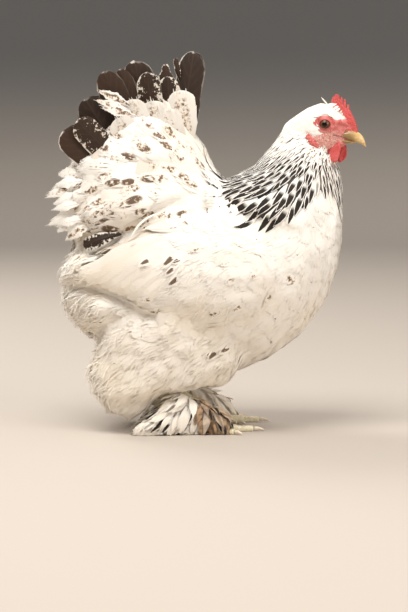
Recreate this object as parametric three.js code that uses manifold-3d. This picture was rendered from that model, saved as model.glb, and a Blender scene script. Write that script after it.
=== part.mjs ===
// A light Brahma hen at life size, as a still museum model: a standing bird whose coat is given as
// solids, so that every outline is that of the feathers and not of the bare skin.
//
// Units are millimetres. +X runs forward to the beak, +Y to the bird's left and +Z up, and the hen
// stands on z = 0. Each fleshy part is a loft through a few named rings. Where two parts meet, the
// later one is carved back by a slightly grown copy of the earlier one, which leaves a thin gap.

import * as THREE from "three";
import { LoftGeometry } from "three/addons/geometries/LoftGeometry.js";
import { mergeVertices } from "three/addons/utils/BufferGeometryUtils.js";
import Module from "manifold-3d";

const wasm = await Module();
wasm.setup();

// Driving dimensions
const GAP = 0.35; // clearance between neighbouring parts
const HEAD_TURN = THREE.MathUtils.degToRad(-14); // the face is turned a little to the bird's right
const HEAD_PIVOT = new THREE.Vector3(118, 0, 0); // the head turns about a vertical line here
const EYE = { x: 147, z: 366.5, radius: 8.4, proud: 1.6 };
const HEAD_HALF_WIDTH = 21.5; // at the eyes
const COMB = { thick: 6, root: 368, rise: 30, thinning: 0.5 }; // thins out from root to root + rise
const VANE_THICK = 1.2; // tail feathers and coverts
const VANE_CAMBER = 0.1; // how far a feather's edges drop, as a share of its half width
const VANE_BOW = 6; // how far a feather bends away from the middle plane
const VANE_ROOT_OUT = 7; // how far its root stands from that plane
const STANCE = { right: -46, left: 47 }; // sideways place of each foot
const STEP = { right: -4, left: 4 }; // how far forward of the middle each foot stands
const FLOOR_SINK = 1.6; // how much of a toe pad is trimmed off to give it a flat sole

const FEATHER_WHITE = { color: 0xf1ede4, roughness: 0.85 };
const FEATHER_DARK = { color: 0x3a2c26, roughness: 0.6 };
const BARE_SKIN = { color: 0xd8453f, roughness: 0.55 };
const HORN = { color: 0xd9b26a, roughness: 0.4 };
const LEG_SKIN = { color: 0xd6b36b, roughness: 0.65 };
const EYEBALL = { color: 0x8a4a1c, roughness: 0.1 };

// ---------------------------------------------------------------- solids and how they are joined

const hen = new THREE.Group();

function solid(geometry) {
  const bare = new THREE.BufferGeometry().setIndex(geometry.index);
  bare.setAttribute("position", geometry.attributes.position);
  const merged = mergeVertices(bare, 1e-3);
  const made = new wasm.Manifold(
    new wasm.Mesh({
      numProp: 3,
      vertProperties: merged.attributes.position.array,
      triVerts: new Uint32Array(merged.index.array),
    }),
  );
  if (made.volume() <= 0) throw new Error("a loft runs the wrong way round");
  return made;
}

function geometryOf(manifold) {
  const { vertProperties, triVerts } = manifold.getMesh();
  return new THREE.BufferGeometry()
    .setAttribute("position", new THREE.BufferAttribute(vertProperties, 3))
    .setIndex(new THREE.BufferAttribute(triVerts, 1));
}

// A cut can leave crumbs, so only the largest body of a part is kept.
function largest(manifold) {
  const bodies = manifold.decompose();
  return bodies.reduce((a, b) => (b.volume() > a.volume() ? b : a));
}

function carve(part, ...others) {
  return largest(others.reduce((left, other) => left.subtract(other), part));
}

function add(name, manifold, material) {
  const mesh = new THREE.Mesh(
    geometryOf(manifold),
    new THREE.MeshStandardMaterial({ metalness: 0, ...material }),
  );
  mesh.name = name;
  hen.add(mesh);
  return manifold;
}

// ------------------------------------------------------------------------------------- the lofts

// The numbers of a ring between the named ones, on a Catmull-Rom curve.
function between(rings, place) {
  const read = (pick) =>
    new THREE.CatmullRomCurve3(rings.map(pick), false, "catmullrom", 0.5).getPoint(place);
  const extra = read((r) => new THREE.Vector3(r.half, r.bow ?? 0, r.low ?? 0));
  return {
    top: read((r) => new THREE.Vector3(...r.top)),
    bottom: read((r) => new THREE.Vector3(...r.bottom)),
    half: extra.x,
    bow: extra.y,
    low: extra.z,
  };
}

// The points round one ring. It runs between top and bottom, is half wide on each side of the line
// between them, is widest at low (-1 bottom, 1 top) and may be bowed sideways.
function section(ring, around, shrink, shift, grow) {
  const middle = ring.top.clone().add(ring.bottom).multiplyScalar(0.5);
  const reach = ring.top.clone().sub(middle);
  const long = Math.max(reach.length() * shrink + grow, 0.05) / Math.max(reach.length(), 1e-6);
  const side = new THREE.Vector3(0, 1, 0).addScaledVector(reach, -reach.y / reach.lengthSq());
  side.normalize();
  return Array.from({ length: around }, (_, i) => {
    const turn = (2 * Math.PI * i) / around;
    const up = Math.sin(turn);
    const across = Math.cos(turn);
    const level = up + ring.low * (1 - up * up);
    const out = Math.sign(across) * Math.abs(across) ** 0.9;
    const wide = out * Math.max(ring.half * shrink + grow, 0.05) + ring.bow * (1 - up * up) * shrink;
    return middle.clone().addScaledVector(reach, level * long).addScaledVector(side, wide).add(shift);
  });
}

// A closed body through the rings, which run so that top x forward points to +Y. It is rounded off
// as a quarter ellipse to a tip at each end.
function loft({ start, rings, end }, { around = 12, steps = 1, grow = 0, caps = 3 } = {}) {
  const sections = [];
  const cap = (ring, tip, k) => {
    const angle = (Math.PI / 2) * (k / caps);
    const middle = ring.top.clone().add(ring.bottom).multiplyScalar(0.5);
    const way = new THREE.Vector3(...tip).sub(middle);
    const reach = way.length() + grow;
    way.setLength(reach * Math.sin(angle));
    return section(ring, around, Math.max(Math.cos(angle), 0.02), way, grow * Math.cos(angle));
  };
  const count = (rings.length - 1) * steps;
  const first = between(rings, 0);
  const last = between(rings, 1);
  for (let k = caps; k > 0; k--) sections.push(cap(first, start, k));
  for (let i = 0; i <= count; i++) {
    sections.push(section(between(rings, i / count), around, 1, new THREE.Vector3(), grow));
  }
  for (let k = 1; k <= caps; k++) sections.push(cap(last, end, k));
  return new LoftGeometry(sections, { capStart: true, capEnd: true });
}

// A ring in an upright plane: [x, z] of its top and bottom, the sideways place of its middle, and
// its half width.
const ring = (top, bottom, half, y = 0, more = {}) => ({
  top: [top[0], y, top[1]],
  bottom: [bottom[0], y, bottom[1]],
  half,
  ...more,
});

// Something long and round in section along a path in the XZ plane, such as a toe or a claw.
function limb(stations, options) {
  const rings = stations.slice(1, -1).map(([x, z, high, wide]) => ring([x, z + high], [x, z - high], wide));
  const [startX, startZ] = stations[0];
  const [endX, endZ] = stations.at(-1);
  return loft({ start: [startX, 0, startZ], rings, end: [endX, 0, endZ] }, options);
}

function placed(geometry, { heading = 0, at = [0, 0, 0] }) {
  return geometry.rotateZ(THREE.MathUtils.degToRad(heading)).translate(...at);
}

const turnHead = new THREE.Matrix4()
  .makeTranslation(HEAD_PIVOT)
  .multiply(new THREE.Matrix4().makeRotationZ(HEAD_TURN))
  .multiply(new THREE.Matrix4().makeTranslation(HEAD_PIVOT.clone().negate()));

const inHead = (geometry) => geometry.applyMatrix4(turnHead);

// ---------------------------------------------------------------------------------- body masses

const trunkShape = {
  start: [-171, 0, 182],
  rings: [
    ring([-148, 232], [-150, 128], 60),
    ring([-122, 252], [-124, 102], 74),
    ring([-82, 268], [-85, 84], 85),
    ring([-40, 280], [-45, 70], 91, 0, { low: -0.05 }),
    ring([0, 288], [-5, 64], 93, 0, { low: -0.08 }),
    ring([42, 294], [38, 68], 92, 0, { low: -0.08 }),
    ring([84, 298], [75, 83], 87, 0, { low: -0.05 }),
    ring([122, 299], [112, 109], 77),
    ring([148, 293], [137, 143], 58),
  ],
  end: [164, 0, 236],
};

// From the shoulders up to the nape. Top is the nape side and bottom the throat side.
const neckShape = {
  start: [70, 0, 190],
  rings: [
    ring([6, 288], [160, 222], 80),
    ring([36, 303], [165, 254], 68),
    ring([58, 314], [165, 281], 54),
    ring([79, 337], [164, 303], 40),
    ring([93, 356], [157, 322], 28),
  ],
  end: [122, 0, 356],
};

const headShape = {
  start: [90, 0, 340],
  rings: [
    ring([104, 371], [112, 322], 21),
    ring([122, 383], [128, 321], 23.5, 0, { low: -0.05 }),
    ring([138, 389], [143, 323], 22.5, 0, { low: 0.1 }),
    ring([153, 386.5], [157, 331], 18.5, 0, { low: 0.25 }),
    ring([165, 376], [167, 338], 13.5, 0, { low: 0.1 }),
    ring([174, 366], [174, 342.5], 9.5),
  ],
  end: [180, 0, 352],
};

// The cushion and the mass of tail coverts. Top is its front and upper edge.
const saddleShape = {
  start: [-66, 0, 402],
  rings: [
    ring([-27, 398], [-104, 384], 27),
    ring([-19, 380], [-140, 354], 40),
    ring([-13, 356], [-165, 314], 55),
    ring([-1, 340], [-167, 266], 68),
    ring([10, 316], [-140, 222], 78),
    ring([26, 297], [-90, 200], 82),
  ],
  end: [0, 0, 210],
};

// Ragged ends of the saddle feathers, hanging over the vent.
const skirtShape = {
  start: [-186, 0, 268],
  rings: [
    ring([-168, 286], [-168, 240], 32),
    ring([-154, 304], [-154, 227], 51),
    ring([-132, 300], [-132, 217], 65),
  ],
  end: [-100, 0, 260],
};

const thighShape = (side) => ({
  start: [-24, side * 46, 196],
  rings: [
    ring([50, 142], [-104, 156], 42, side * 49),
    ring([48, 100], [-124, 106], 43, side * 49),
    ring([30, 58], [-139, 68], 40, side * 50),
    ring([-32, 54], [-130, 42], 33, side * 51),
    ring([-60, 37], [-119, 29], 23, side * 51),
  ],
  end: [-92, side * 50, 17],
});

// The folded wing hugs the side of the trunk. Its rings lean in at the top and bottom.
const wingShape = (side) => {
  const wingRing = (top, bottom, half, out) => ({
    top: [top[0], side * top[1], top[2]],
    bottom: [bottom[0], side * bottom[1], bottom[2]],
    half,
    bow: side * out,
  });
  return {
    start: [-154, side * 64, 186],
    rings: [
      wingRing([-134, 62, 210], [-132, 66, 168], 8, 6),
      wingRing([-106, 67, 232], [-106, 74, 157], 10, 8),
      wingRing([-68, 71, 252], [-74, 81, 141], 12, 12),
      wingRing([-22, 72, 258], [-30, 83, 127], 13, 15),
      wingRing([26, 73, 252], [18, 83, 124], 13, 16),
      wingRing([66, 72, 236], [60, 80, 136], 12, 14),
      wingRing([88, 66, 214], [86, 70, 162], 9, 9),
    ],
    end: [99, side * 66, 188],
  };
};

const trunk = (grow) => solid(loft(trunkShape, { around: 20, grow }));
const neck = (grow) => solid(loft(neckShape, { around: 16, grow, caps: 2 }));
const head = (grow) => solid(inHead(loft(headShape, { around: 16, grow })));
const saddle = (grow) =>
  solid(loft(saddleShape, { around: 18, grow })).add(
    solid(loft(skirtShape, { around: 14, grow })),
  );
const thigh = (side, grow) => solid(loft(thighShape(side), { around: 14, steps: 2, grow }));
const wing = (side, grow) => solid(loft(wingShape(side), { around: 12, grow }));

// ------------------------------------------------------------------------------ head furnishings

// The eyeballs stand a little proud of the head on both sides.
const eye = (side, grow) =>
  solid(
    inHead(
      new THREE.SphereGeometry(EYE.radius + grow, 11, 7).translate(
        EYE.x,
        side * (HEAD_HALF_WIDTH - EYE.radius + EYE.proud),
        EYE.z,
      ),
    ),
  );

// A blade in the middle plane: a smooth low front and small points that grow towards the back.
function comb(grow) {
  const points = [
    [171.4, 388.4, 1],
    [167.6, 394.2, 1.2],
    [163.5, 396.8, 1.2],
  ];
  const outline = new THREE.Shape();
  outline.moveTo(182.5 + grow, 353);
  outline.quadraticCurveTo(182, 366, 173.2 + grow, 381.5);
  outline.lineTo(171 + grow, 382.5);
  for (const [x, z, half] of points) {
    outline.lineTo(x + half, z - 7);
    outline.absarc(x, z, half + grow / 2, 0, Math.PI, false);
    outline.lineTo(x - half, z - 9);
  }
  outline.lineTo(160.8, 396);
  outline.quadraticCurveTo(156.5, 401 + grow, 154, 398.5);
  outline.quadraticCurveTo(149 - grow, 393, 153.5 - grow, 384);
  outline.lineTo(158, 372);
  outline.lineTo(176, 352);
  const thick = COMB.thick + 2 * grow;
  const blade = new THREE.ExtrudeGeometry(outline, {
    depth: thick,
    bevelEnabled: false,
    curveSegments: 3,
  });
  blade.rotateX(Math.PI / 2).translate(0, thick / 2, 0);
  const { position } = blade.attributes;
  for (let i = 0; i < position.count; i++) {
    const rise = THREE.MathUtils.clamp((position.getZ(i) - COMB.root) / COMB.rise, 0, 1);
    position.setY(i, position.getY(i) * (1 - COMB.thinning * rise));
  }
  return solid(inHead(blade));
}

const beakUpper = (grow) =>
  solid(
    inHead(
      loft(
        {
          start: [155, 0, 353],
          rings: [
            ring([162, 358.5], [160, 347.6], 8.6),
            ring([173, 360], [171, 346.4], 8.3),
            ring([182, 358], [180, 344.6], 6.7),
            ring([189.3, 353.6], [186.4, 343], 4.8),
            ring([193.8, 347.4], [191.2, 341.4], 2.9),
          ],
          end: [196, 0, 338.6],
        },
        { around: 10, grow, caps: 2 },
      ),
    ),
  );

const beakLower = (grow) =>
  solid(
    inHead(
      loft(
        {
          start: [157, 0, 346],
          rings: [
            ring([163, 349], [163, 341.4], 6.8),
            ring([172, 347.6], [172, 340.8], 6),
            ring([181, 345.6], [180, 341.2], 4.5),
          ],
          end: [187, 0, 343],
        },
        { around: 8, grow, caps: 2 },
      ),
    ),
  );

// A flat lobe that hangs under the jaw and leans out a little. The left one swings forward.
function wattle(side, grow) {
  const x = side > 0 ? 3.5 : 0;
  const shape = {
    start: [x + 158, side * 7.5, 351],
    rings: [
      ring([x + 163, 346], [x + 152, 344], 2.2, side * 8),
      ring([x + 166, 336], [x + 148.5, 334], 2, side * 9.5),
      ring([x + 164.5, 325], [x + 148.5, 325], 1.8, side * 11),
    ],
    end: [x + 156, side * 12, 318],
  };
  return solid(inHead(loft(shape, { around: 8, grow, caps: 2 })));
}

const earlobe = (side, grow) =>
  solid(
    inHead(
      loft(
        {
          start: [123.5, side * 21.5, 354.5],
          rings: [
            ring([131, 351], [124, 346.5], 2.4, side * 22),
            ring([136.5, 344.5], [130, 339], 2.6, side * 22),
          ],
          end: [142, side * 20, 334.5],
        },
        { around: 8, grow, caps: 2 },
      ),
    ),
  );

// ------------------------------------------------------------------------------------------ tail

// Each main feather springs from the tail's root and fans out in its own half of a steep tent.
// tip and root are [x, z], out is how far the tip stands from the middle plane.
const MAIN_FEATHERS = [
  { root: [-34, 296], tip: [-12, 450], out: 8, wide: 28 },
  { root: [-42, 296], tip: [-49, 440], out: 16, wide: 15 },
  { root: [-52, 296], tip: [-82, 437], out: 24, wide: 31 },
  { root: [-62, 292], tip: [-119, 425], out: 33, wide: 28 },
  { root: [-74, 288], tip: [-140, 393], out: 42, wide: 30 },
  { root: [-88, 282], tip: [-167, 356], out: 50, wide: 31 },
];
const COVERTS = [
  { root: [-34, 300], tip: [-41, 420], out: 24, wide: 24 },
  { root: [-52, 300], tip: [-68, 424], out: 34, wide: 24 },
  { root: [-84, 296], tip: [-150, 368], out: 58, wide: 28 },
];

// Half width of a tail feather at share s of its length: slim at the quill, full and round-ended.
const vaneWidth = (s) => {
  const flare = 0.3 + 0.7 * THREE.MathUtils.smoothstep(s, 0, 0.6);
  const tip = Math.sqrt(1 - Math.max(0, (s - 0.9) / 0.1) ** 2);
  return flare * tip;
};

function vane({ root, tip, out, wide }, side, grow) {
  const from = new THREE.Vector3(root[0], side * VANE_ROOT_OUT, root[1]);
  const to = new THREE.Vector3(tip[0], side * out, tip[1]);
  const along = to.clone().sub(from);
  const length = along.length() + grow;
  along.normalize();
  const outward = new THREE.Vector3(-0.15, side, 0.25).projectOnPlane(along).normalize();
  const across = new THREE.Vector3().crossVectors(outward, along);
  const half = wide / 2 + grow;
  const thick = VANE_THICK / 2 + grow;
  const sections = [0, 0.45, 0.7, 0.9, 0.96, 1].map((s) => {
    const w = Math.max(half * vaneWidth(s), 0.8 + grow);
    const spine = from.clone().addScaledVector(along, s * length);
    spine.addScaledVector(outward, VANE_BOW * Math.sin(Math.PI * s));
    const at = (sideways, lift) =>
      spine
        .clone()
        .addScaledVector(across, sideways * w)
        .addScaledVector(outward, lift - VANE_CAMBER * w * sideways * sideways);
    return [at(-1, thick), at(-1, -thick), at(0, -thick), at(1, -thick), at(1, thick), at(0, thick)];
  });
  return solid(new LoftGeometry(sections, { capStart: true, capEnd: true }));
}

// ------------------------------------------------------------------------------------------ feet

// Toes as seen on a right foot: heading in degrees from straight ahead (positive turns to the
// bird's left), length without the claw, and half thickness.
const TOES = {
  hind: { heading: 168, length: 24, thick: 5.2, claw: 11 },
  inner: { heading: 34, length: 44, thick: 5.6, claw: 12 },
  middle: { heading: 4, length: 62, thick: 6.2, claw: 14 },
  outer: { heading: -34, length: 47, thick: 5.8, claw: 12 },
};

const floorTrim = new THREE.BoxGeometry(900, 900, 100).translate(0, 0, -50);
const aboveFloor = (manifold) => manifold.subtract(solid(floorTrim));

const footPlace = (side) => {
  const name = side < 0 ? "right" : "left";
  return [STEP[name], STANCE[name], 0];
};

// A toe swells at each joint and lies on the floor.
function toe(side, { heading, length, thick }, grow) {
  const stations = [[0, thick + 1.5]];
  for (let i = 0; i <= 4; i++) {
    const s = i / 4;
    const swell = (i % 2 ? 0.88 : 1) * (1 - 0.28 * s);
    const high = thick * swell;
    stations.push([3 + (length - 3.5) * s, high - FLOOR_SINK, high, high * 1.05]);
  }
  stations.push([length, thick * 0.5]);
  const shape = limb(stations, { around: 8, grow, caps: 1 });
  return aboveFloor(solid(placed(shape, { heading: -side * heading, at: footPlace(side) })));
}

// A claw leaves the toe's blunt end, arches over and comes down to the floor.
function claw(side, { heading, length, thick, claw: reach }) {
  const stations = [
    [length + GAP, thick * 0.5],
    [length + GAP + 0.3, thick * 0.56, 2.9, 2.5],
    [length + reach * 0.4, thick * 0.58, 2.5, 2],
    [length + reach * 0.75, thick * 0.38, 1.6, 1.3],
    [length + reach, 0.7],
  ];
  const shape = limb(stations, { around: 6, caps: 1 });
  return aboveFloor(solid(placed(shape, { heading: -side * heading, at: footPlace(side) })));
}

// The shank slopes down and forward from the hock, hidden in the fluff, to the foot's pad.
function shank(side, grow) {
  const [x, y] = footPlace(side);
  const shape = loft(
    {
      start: [x - 86, y, 60],
      rings: [
        ring([x - 64, 62], [x - 76, 42], 10.5, y),
        ring([x - 40, 46], [x - 50, 27], 9, y),
        ring([x - 14, 29], [x - 26, 12], 9.5, y),
        ring([x + 3, 17], [x - 16, 1.5], 11, y),
      ],
      end: [x + 8, y, 2],
    },
    { around: 10, grow, caps: 2 },
  );
  return aboveFloor(solid(shape));
}

// The stiff feathers on the outer side of the shank and foot, swept out and back to the floor.
const bootShape = (side) => {
  const [x, y] = footPlace(side);
  return {
    start: [x - 80, y + side * 25, 5],
    rings: [
      ring([x - 64, 19], [x - 68, -6], 13, y + side * 24),
      ring([x - 44, 41], [x - 40, -8], 18, y + side * 20),
      ring([x - 24, 52], [x - 16, -8], 18, y + side * 17),
      ring([x, 42], [x + 6, -6], 16, y + side * 16),
      ring([x + 20, 30], [x + 21, -4], 13, y + side * 18),
    ],
    end: [x + 36, y + side * 20, 8],
  };
};
const boot = (side, grow) =>
  aboveFloor(solid(loft(bootShape(side), { around: 10, grow, caps: 2 })));

// -------------------------------------------------------------------------------------- assembly

const sides = [
  [-1, "right"],
  [1, "left"],
];

const grownTrunk = trunk(GAP);
const grownNeck = neck(GAP);
const grownHead = head(GAP);
const grownSaddle = saddle(GAP);

add("trunk", carve(trunk(0)), FEATHER_WHITE);
const eyes = sides.map(([side]) => eye(side, GAP));
const lobes = sides.map(([side]) => earlobe(side, GAP));
const wattles = sides.map(([side]) => wattle(side, GAP));
const beaks = [beakUpper(GAP), beakLower(GAP)];
add("neck", carve(neck(0), grownTrunk, grownHead, ...lobes, ...wattles), FEATHER_WHITE);
add("saddle", carve(saddle(0), grownTrunk, grownNeck), FEATHER_WHITE);

add("head", carve(head(0), comb(GAP), ...beaks, ...eyes, ...lobes, ...wattles), FEATHER_WHITE);
add("comb", carve(comb(0), beakUpper(GAP)), BARE_SKIN);
add("beak_upper", carve(beakUpper(0)), HORN);
add("beak_lower", carve(beakLower(0), beakUpper(GAP)), HORN);

for (const [side, name] of sides) {
  add("eye_" + name, eye(side, 0), EYEBALL);
  add("earlobe_" + name, earlobe(side, 0), BARE_SKIN);
  add("wattle_" + name, carve(wattle(side, 0), beakUpper(GAP), beakLower(GAP)), BARE_SKIN);
  add("wing_" + name, carve(wing(side, 0), grownTrunk, grownSaddle, grownNeck), FEATHER_WHITE);
}

for (const [side, name] of sides) {
  const wingGrown = wing(side, GAP);
  const legParts = [shank(side, GAP), boot(side, GAP)];
  add("thigh_" + name, carve(thigh(side, 0), grownTrunk, wingGrown, ...legParts), FEATHER_WHITE);

  const toes = Object.entries(TOES);
  const grownShank = shank(side, GAP);
  add("shank_" + name, carve(shank(side, 0), grownTrunk), LEG_SKIN);
  for (const [toeName, size] of toes) {
    const others = toes.filter(([other]) => other < toeName).map(([, s]) => toe(side, s, GAP));
    const body = carve(toe(side, size, 0), grownShank, ...others);
    add(`toe_${toeName}_${name}`, body, LEG_SKIN);
    add(`claw_${toeName}_${name}`, claw(side, size), HORN);
  }
  const grownToes = toes.map(([, size]) => toe(side, size, GAP));
  add("boot_" + name, carve(boot(side, 0), grownShank, ...grownToes), FEATHER_WHITE);
}

for (const [side, name] of sides) {
  const cutters = [grownTrunk, grownSaddle];
  [...MAIN_FEATHERS, ...COVERTS].forEach((feather, i) => {
    const isCovert = i >= MAIN_FEATHERS.length;
    const number = isCovert ? i - MAIN_FEATHERS.length + 1 : i + 1;
    const label = isCovert ? "tail_covert" : "tail_feather";
    const body = carve(vane(feather, side, 0), ...cutters);
    add(`${label}_${number}_${name}`, body, isCovert ? FEATHER_WHITE : FEATHER_DARK);
    cutters.push(vane(feather, side, GAP));
  });
}

// The frame's origin is under the middle of the whole bird, on the floor.
const box = new THREE.Box3().setFromObject(hen);
const middle = box.getCenter(new THREE.Vector3());
hen.position.set(-middle.x, -middle.y, -box.min.z);

export default hen;
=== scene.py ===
import math

import bmesh
import bpy
import numpy as np
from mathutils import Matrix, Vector, noise as noiseAt
from mathutils.bvhtree import BVHTree


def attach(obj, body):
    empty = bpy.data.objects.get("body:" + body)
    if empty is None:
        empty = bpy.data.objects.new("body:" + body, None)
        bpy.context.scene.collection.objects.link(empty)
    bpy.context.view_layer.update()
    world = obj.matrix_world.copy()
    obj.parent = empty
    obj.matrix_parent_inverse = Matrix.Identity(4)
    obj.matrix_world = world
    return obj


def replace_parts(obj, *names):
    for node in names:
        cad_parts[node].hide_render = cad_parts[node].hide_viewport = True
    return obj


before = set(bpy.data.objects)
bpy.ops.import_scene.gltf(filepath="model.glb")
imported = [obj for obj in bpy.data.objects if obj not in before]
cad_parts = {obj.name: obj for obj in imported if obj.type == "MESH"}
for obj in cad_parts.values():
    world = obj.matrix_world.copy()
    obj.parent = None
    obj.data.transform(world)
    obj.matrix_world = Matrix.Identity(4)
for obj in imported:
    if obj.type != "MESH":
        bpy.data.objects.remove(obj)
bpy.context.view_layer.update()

# A light Brahma hen. Metres, +X towards the beak, +Y the hen's left, +Z up.
# Tables of places and sizes are in millimetres, from a point on the floor just behind the frame's
# origin. They go through toMetres() before they are used.

mm = 0.001
tableStart = np.array([-3.86, 0.0, 0.0])
sides = {"right": -1, "left": 1}
floorLift = 0.3 * mm  # nothing of the coat goes lower than this
rng = np.random.default_rng(11)


def toMetres(table):
    return (np.asarray(table, float) + tableStart) * mm


def toTable(points):
    return points / mm - tableStart


def smoothStep(value, low, high):
    share = np.clip((value - low) / (high - low), 0, 1)
    return share * share * (3 - 2 * share)


def fadeOut(value, low, high):  # the same step downwards: 1 up to low, 0 from high
    return smoothStep(-value, -high, -low)


def unit(vectors):
    return vectors / np.maximum(np.linalg.norm(vectors, axis=-1, keepdims=True), 1e-9)


def across(ways, ups):  # the part of each way that is square to its up
    return unit(ways - ups * (ways * ups).sum(-1, keepdims=True))


def wobbles(places, scale):
    return np.array([noiseAt.noise(Vector(place) * scale) for place in places])


def selectOnly(piece):
    bpy.ops.object.select_all(action="DESELECT")
    piece.select_set(True)
    bpy.context.view_layer.objects.active = piece


def shadeSmooth(piece):
    selectOnly(piece)
    bpy.ops.object.shade_smooth()


def facesOut(piece, triangles=False):
    selectOnly(piece)
    bpy.ops.object.mode_set(mode="EDIT")
    bpy.ops.mesh.select_all(action="SELECT")
    if triangles:
        bpy.ops.mesh.quads_convert_to_tris()
    bpy.ops.mesh.normals_make_consistent(inside=False)
    bpy.ops.object.mode_set(mode="OBJECT")


def applyModifier(piece, kind, **values):
    selectOnly(piece)
    added = piece.modifiers.new(kind.lower(), kind)
    for name, value in values.items():
        setattr(added, name, value)
    bpy.ops.object.modifier_apply(modifier=added.name)


def remeshed(piece, voxel, rounds, smooth=0.5):
    applyModifier(piece, "REMESH", mode="VOXEL", voxel_size=voxel * mm)
    applyModifier(piece, "SMOOTH", factor=smooth, iterations=rounds)
    return piece


def joinPieces(name, pieces):
    selectOnly(pieces[0])
    for piece in pieces:
        piece.select_set(True)
    if len(pieces) > 1:
        bpy.ops.object.join()
    joined = bpy.context.view_layer.objects.active
    joined.name = name
    joined.data.name = name
    return joined


def copyOfNode(node):
    copied = bpy.data.objects.new(node + "Copy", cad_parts[node].data.copy())
    bpy.context.scene.collection.objects.link(copied)
    copied.data.materials.clear()
    shape = bmesh.new()
    shape.from_mesh(copied.data)
    bmesh.ops.remove_doubles(shape, verts=shape.verts, dist=1e-6)
    shape.to_mesh(copied.data)
    shape.free()
    return copied


def surfaceOf(name, nodes, **form):
    return remeshed(joinPieces(name, [copyOfNode(node) for node in nodes]), **form)


def readAll(items, name, width=1, kind=float):
    values = np.empty(len(items) * width, kind)
    items.foreach_get(name, values)
    return values.reshape(-1, width) if width > 1 else values


def pointsOf(piece):
    return readAll(piece.data.vertices, "co", 3)


def normalsOf(piece):
    return readAll(piece.data.vertices, "normal", 3)


def movePoints(piece, points):
    piece.data.vertices.foreach_set("co", points.ravel())
    piece.data.update()


def addAttribute(piece, name, values):
    made = piece.data.attributes.new(name, "FLOAT", "POINT")
    made.data.foreach_set("value", np.asarray(values, np.float32).ravel())


def meshFromArrays(name, points, faceSets):
    mesh = bpy.data.meshes.new(name)
    sizes = np.concatenate([np.full(len(faces), faces.shape[1]) for faces in faceSets])
    corners = np.concatenate([faces.ravel() for faces in faceSets])
    mesh.vertices.add(len(points))
    mesh.vertices.foreach_set("co", points.ravel())
    mesh.loops.add(len(corners))
    mesh.loops.foreach_set("vertex_index", corners)
    mesh.polygons.add(len(sizes))
    mesh.polygons.foreach_set("loop_start", np.concatenate([[0], np.cumsum(sizes)[:-1]]))
    mesh.update(calc_edges=True)
    piece = bpy.data.objects.new(name, mesh)
    bpy.context.scene.collection.objects.link(piece)
    return piece


# ---- the surface that the tips of the coat reach


class Surface:
    def __init__(self, piece):
        self.piece = piece
        piece.data.calc_loop_triangles()
        self.triangles = readAll(piece.data.loop_triangles, "vertices", 3, int)
        self.points = pointsOf(piece)
        self.normals = unit(normalsOf(piece))
        self.tree = BVHTree.FromPolygons(self.points.tolist(), self.triangles.tolist())

    def nearest(self, points):
        found = [self.tree.find_nearest(point) for point in points.tolist()]
        spots = np.array([hit[0] for hit in found])
        faces = self.triangles[[hit[2] for hit in found]]
        weights = 1 / (np.linalg.norm(self.points[faces] - spots[:, None], axis=2) + 1e-5)
        return spots, unit((self.normals[faces] * weights[..., None]).sum(1))

    def scatter(self, count):
        corners = self.points[self.triangles]
        cross = np.cross(corners[:, 1] - corners[:, 0], corners[:, 2] - corners[:, 0])
        areas = np.linalg.norm(cross, axis=1)
        chosen = rng.choice(len(areas), count, p=areas / areas.sum())
        share = rng.random((count, 2))
        share = np.where(share.sum(1, keepdims=True) > 1, 1 - share, share)
        weights = np.stack([1 - share.sum(1), share[:, 0], share[:, 1]], 1)[..., None]
        points = (corners[chosen] * weights).sum(1)
        return points, unit((self.normals[self.triangles[chosen]] * weights).sum(1))


def nodeFinder(nodes):  # gives the index of the node nearest to each point
    points, faces, owners = [], [], []
    for index, node in enumerate(nodes):
        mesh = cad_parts[node].data
        faces += [[corner + len(points) for corner in face.vertices] for face in mesh.polygons]
        owners += [index] * len(mesh.polygons)
        points += [vertex.co[:] for vertex in mesh.vertices]
    tree = BVHTree.FromPolygons(points, faces)
    return lambda spots: np.array([owners[tree.find_nearest(spot)[2]] for spot in spots.tolist()])


fleshNodes = ["neck", "trunk", "saddle", "wing_right", "wing_left", "thigh_right", "thigh_left", "head"]
fleshKinds = np.array([node.split("_")[0] for node in fleshNodes])
ownerOf = nodeFinder(fleshNodes)
headNode = fleshNodes.index("head")
creases = [  # the folds of the coat on each side: depth, half width, then the line (x, z)
    (8.0, 7, [(-142, 219), (-115, 228), (-90, 235), (-76, 248), (-50, 265), (-20, 277)]),
    (7.0, 5, [(-166, 178), (-132, 170), (-102, 160), (-86, 149), (-60, 139)]),
    (4.0, 10, [(-12, 121), (12, 106), (46, 99)]),
    (4.0, 9, [(-168, 226), (-140, 222), (-128, 224)]),
]
puffs = {  # height and frequency of the coat's unevenness
    "saddle": (1.2, 1 / 30), "thigh": (3.2, 1 / 30), "trunk": (1.4, 1 / 36), "wing": (1.0, 1 / 40),
}
cushions = [  # the soft bulges of the saddle on each side: root and tip (x, z), reach and height
    (-50, 362, -127, 356, 15, 7.5), (-24, 336, -114, 331, 14, 6.5), (-92, 310, -151, 315, 16, 8.0),
    (-50, 303, -136, 290, 13, 6.5), (-38, 283, -121, 258, 23, 10.0), (-138, 284, -166, 279, 11, 5.5),
    (-138, 251, -166, 246, 11, 5.5),
]
flanks = [  # the same for the loose coat under the wing and behind the thigh
    (-96, 136, -150, 152, 20, 9.0), (-120, 175, -158, 186, 14, 5.0), (-64, 118, -120, 108, 16, 4.0),
]
cushionHollow = 3.0  # how far the saddle sinks between its bulges
rearEnd = {  # behind these places, and below these heights, the tail end is drawn in by a share
    "saddleEdge": -154, "saddlePull": 0.5, "trunkEdge": -148, "trunkTop": 245, "trunkPull": (0.2, 0.45),
    "pullHeights": (180, 205), "thighTop": 62, "thighPull": 0.85,
}
thighHeel = np.array([(-70, 12), (-90, 19), (-106, 26), (-125, 42), (-134, 62)], float)


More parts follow.
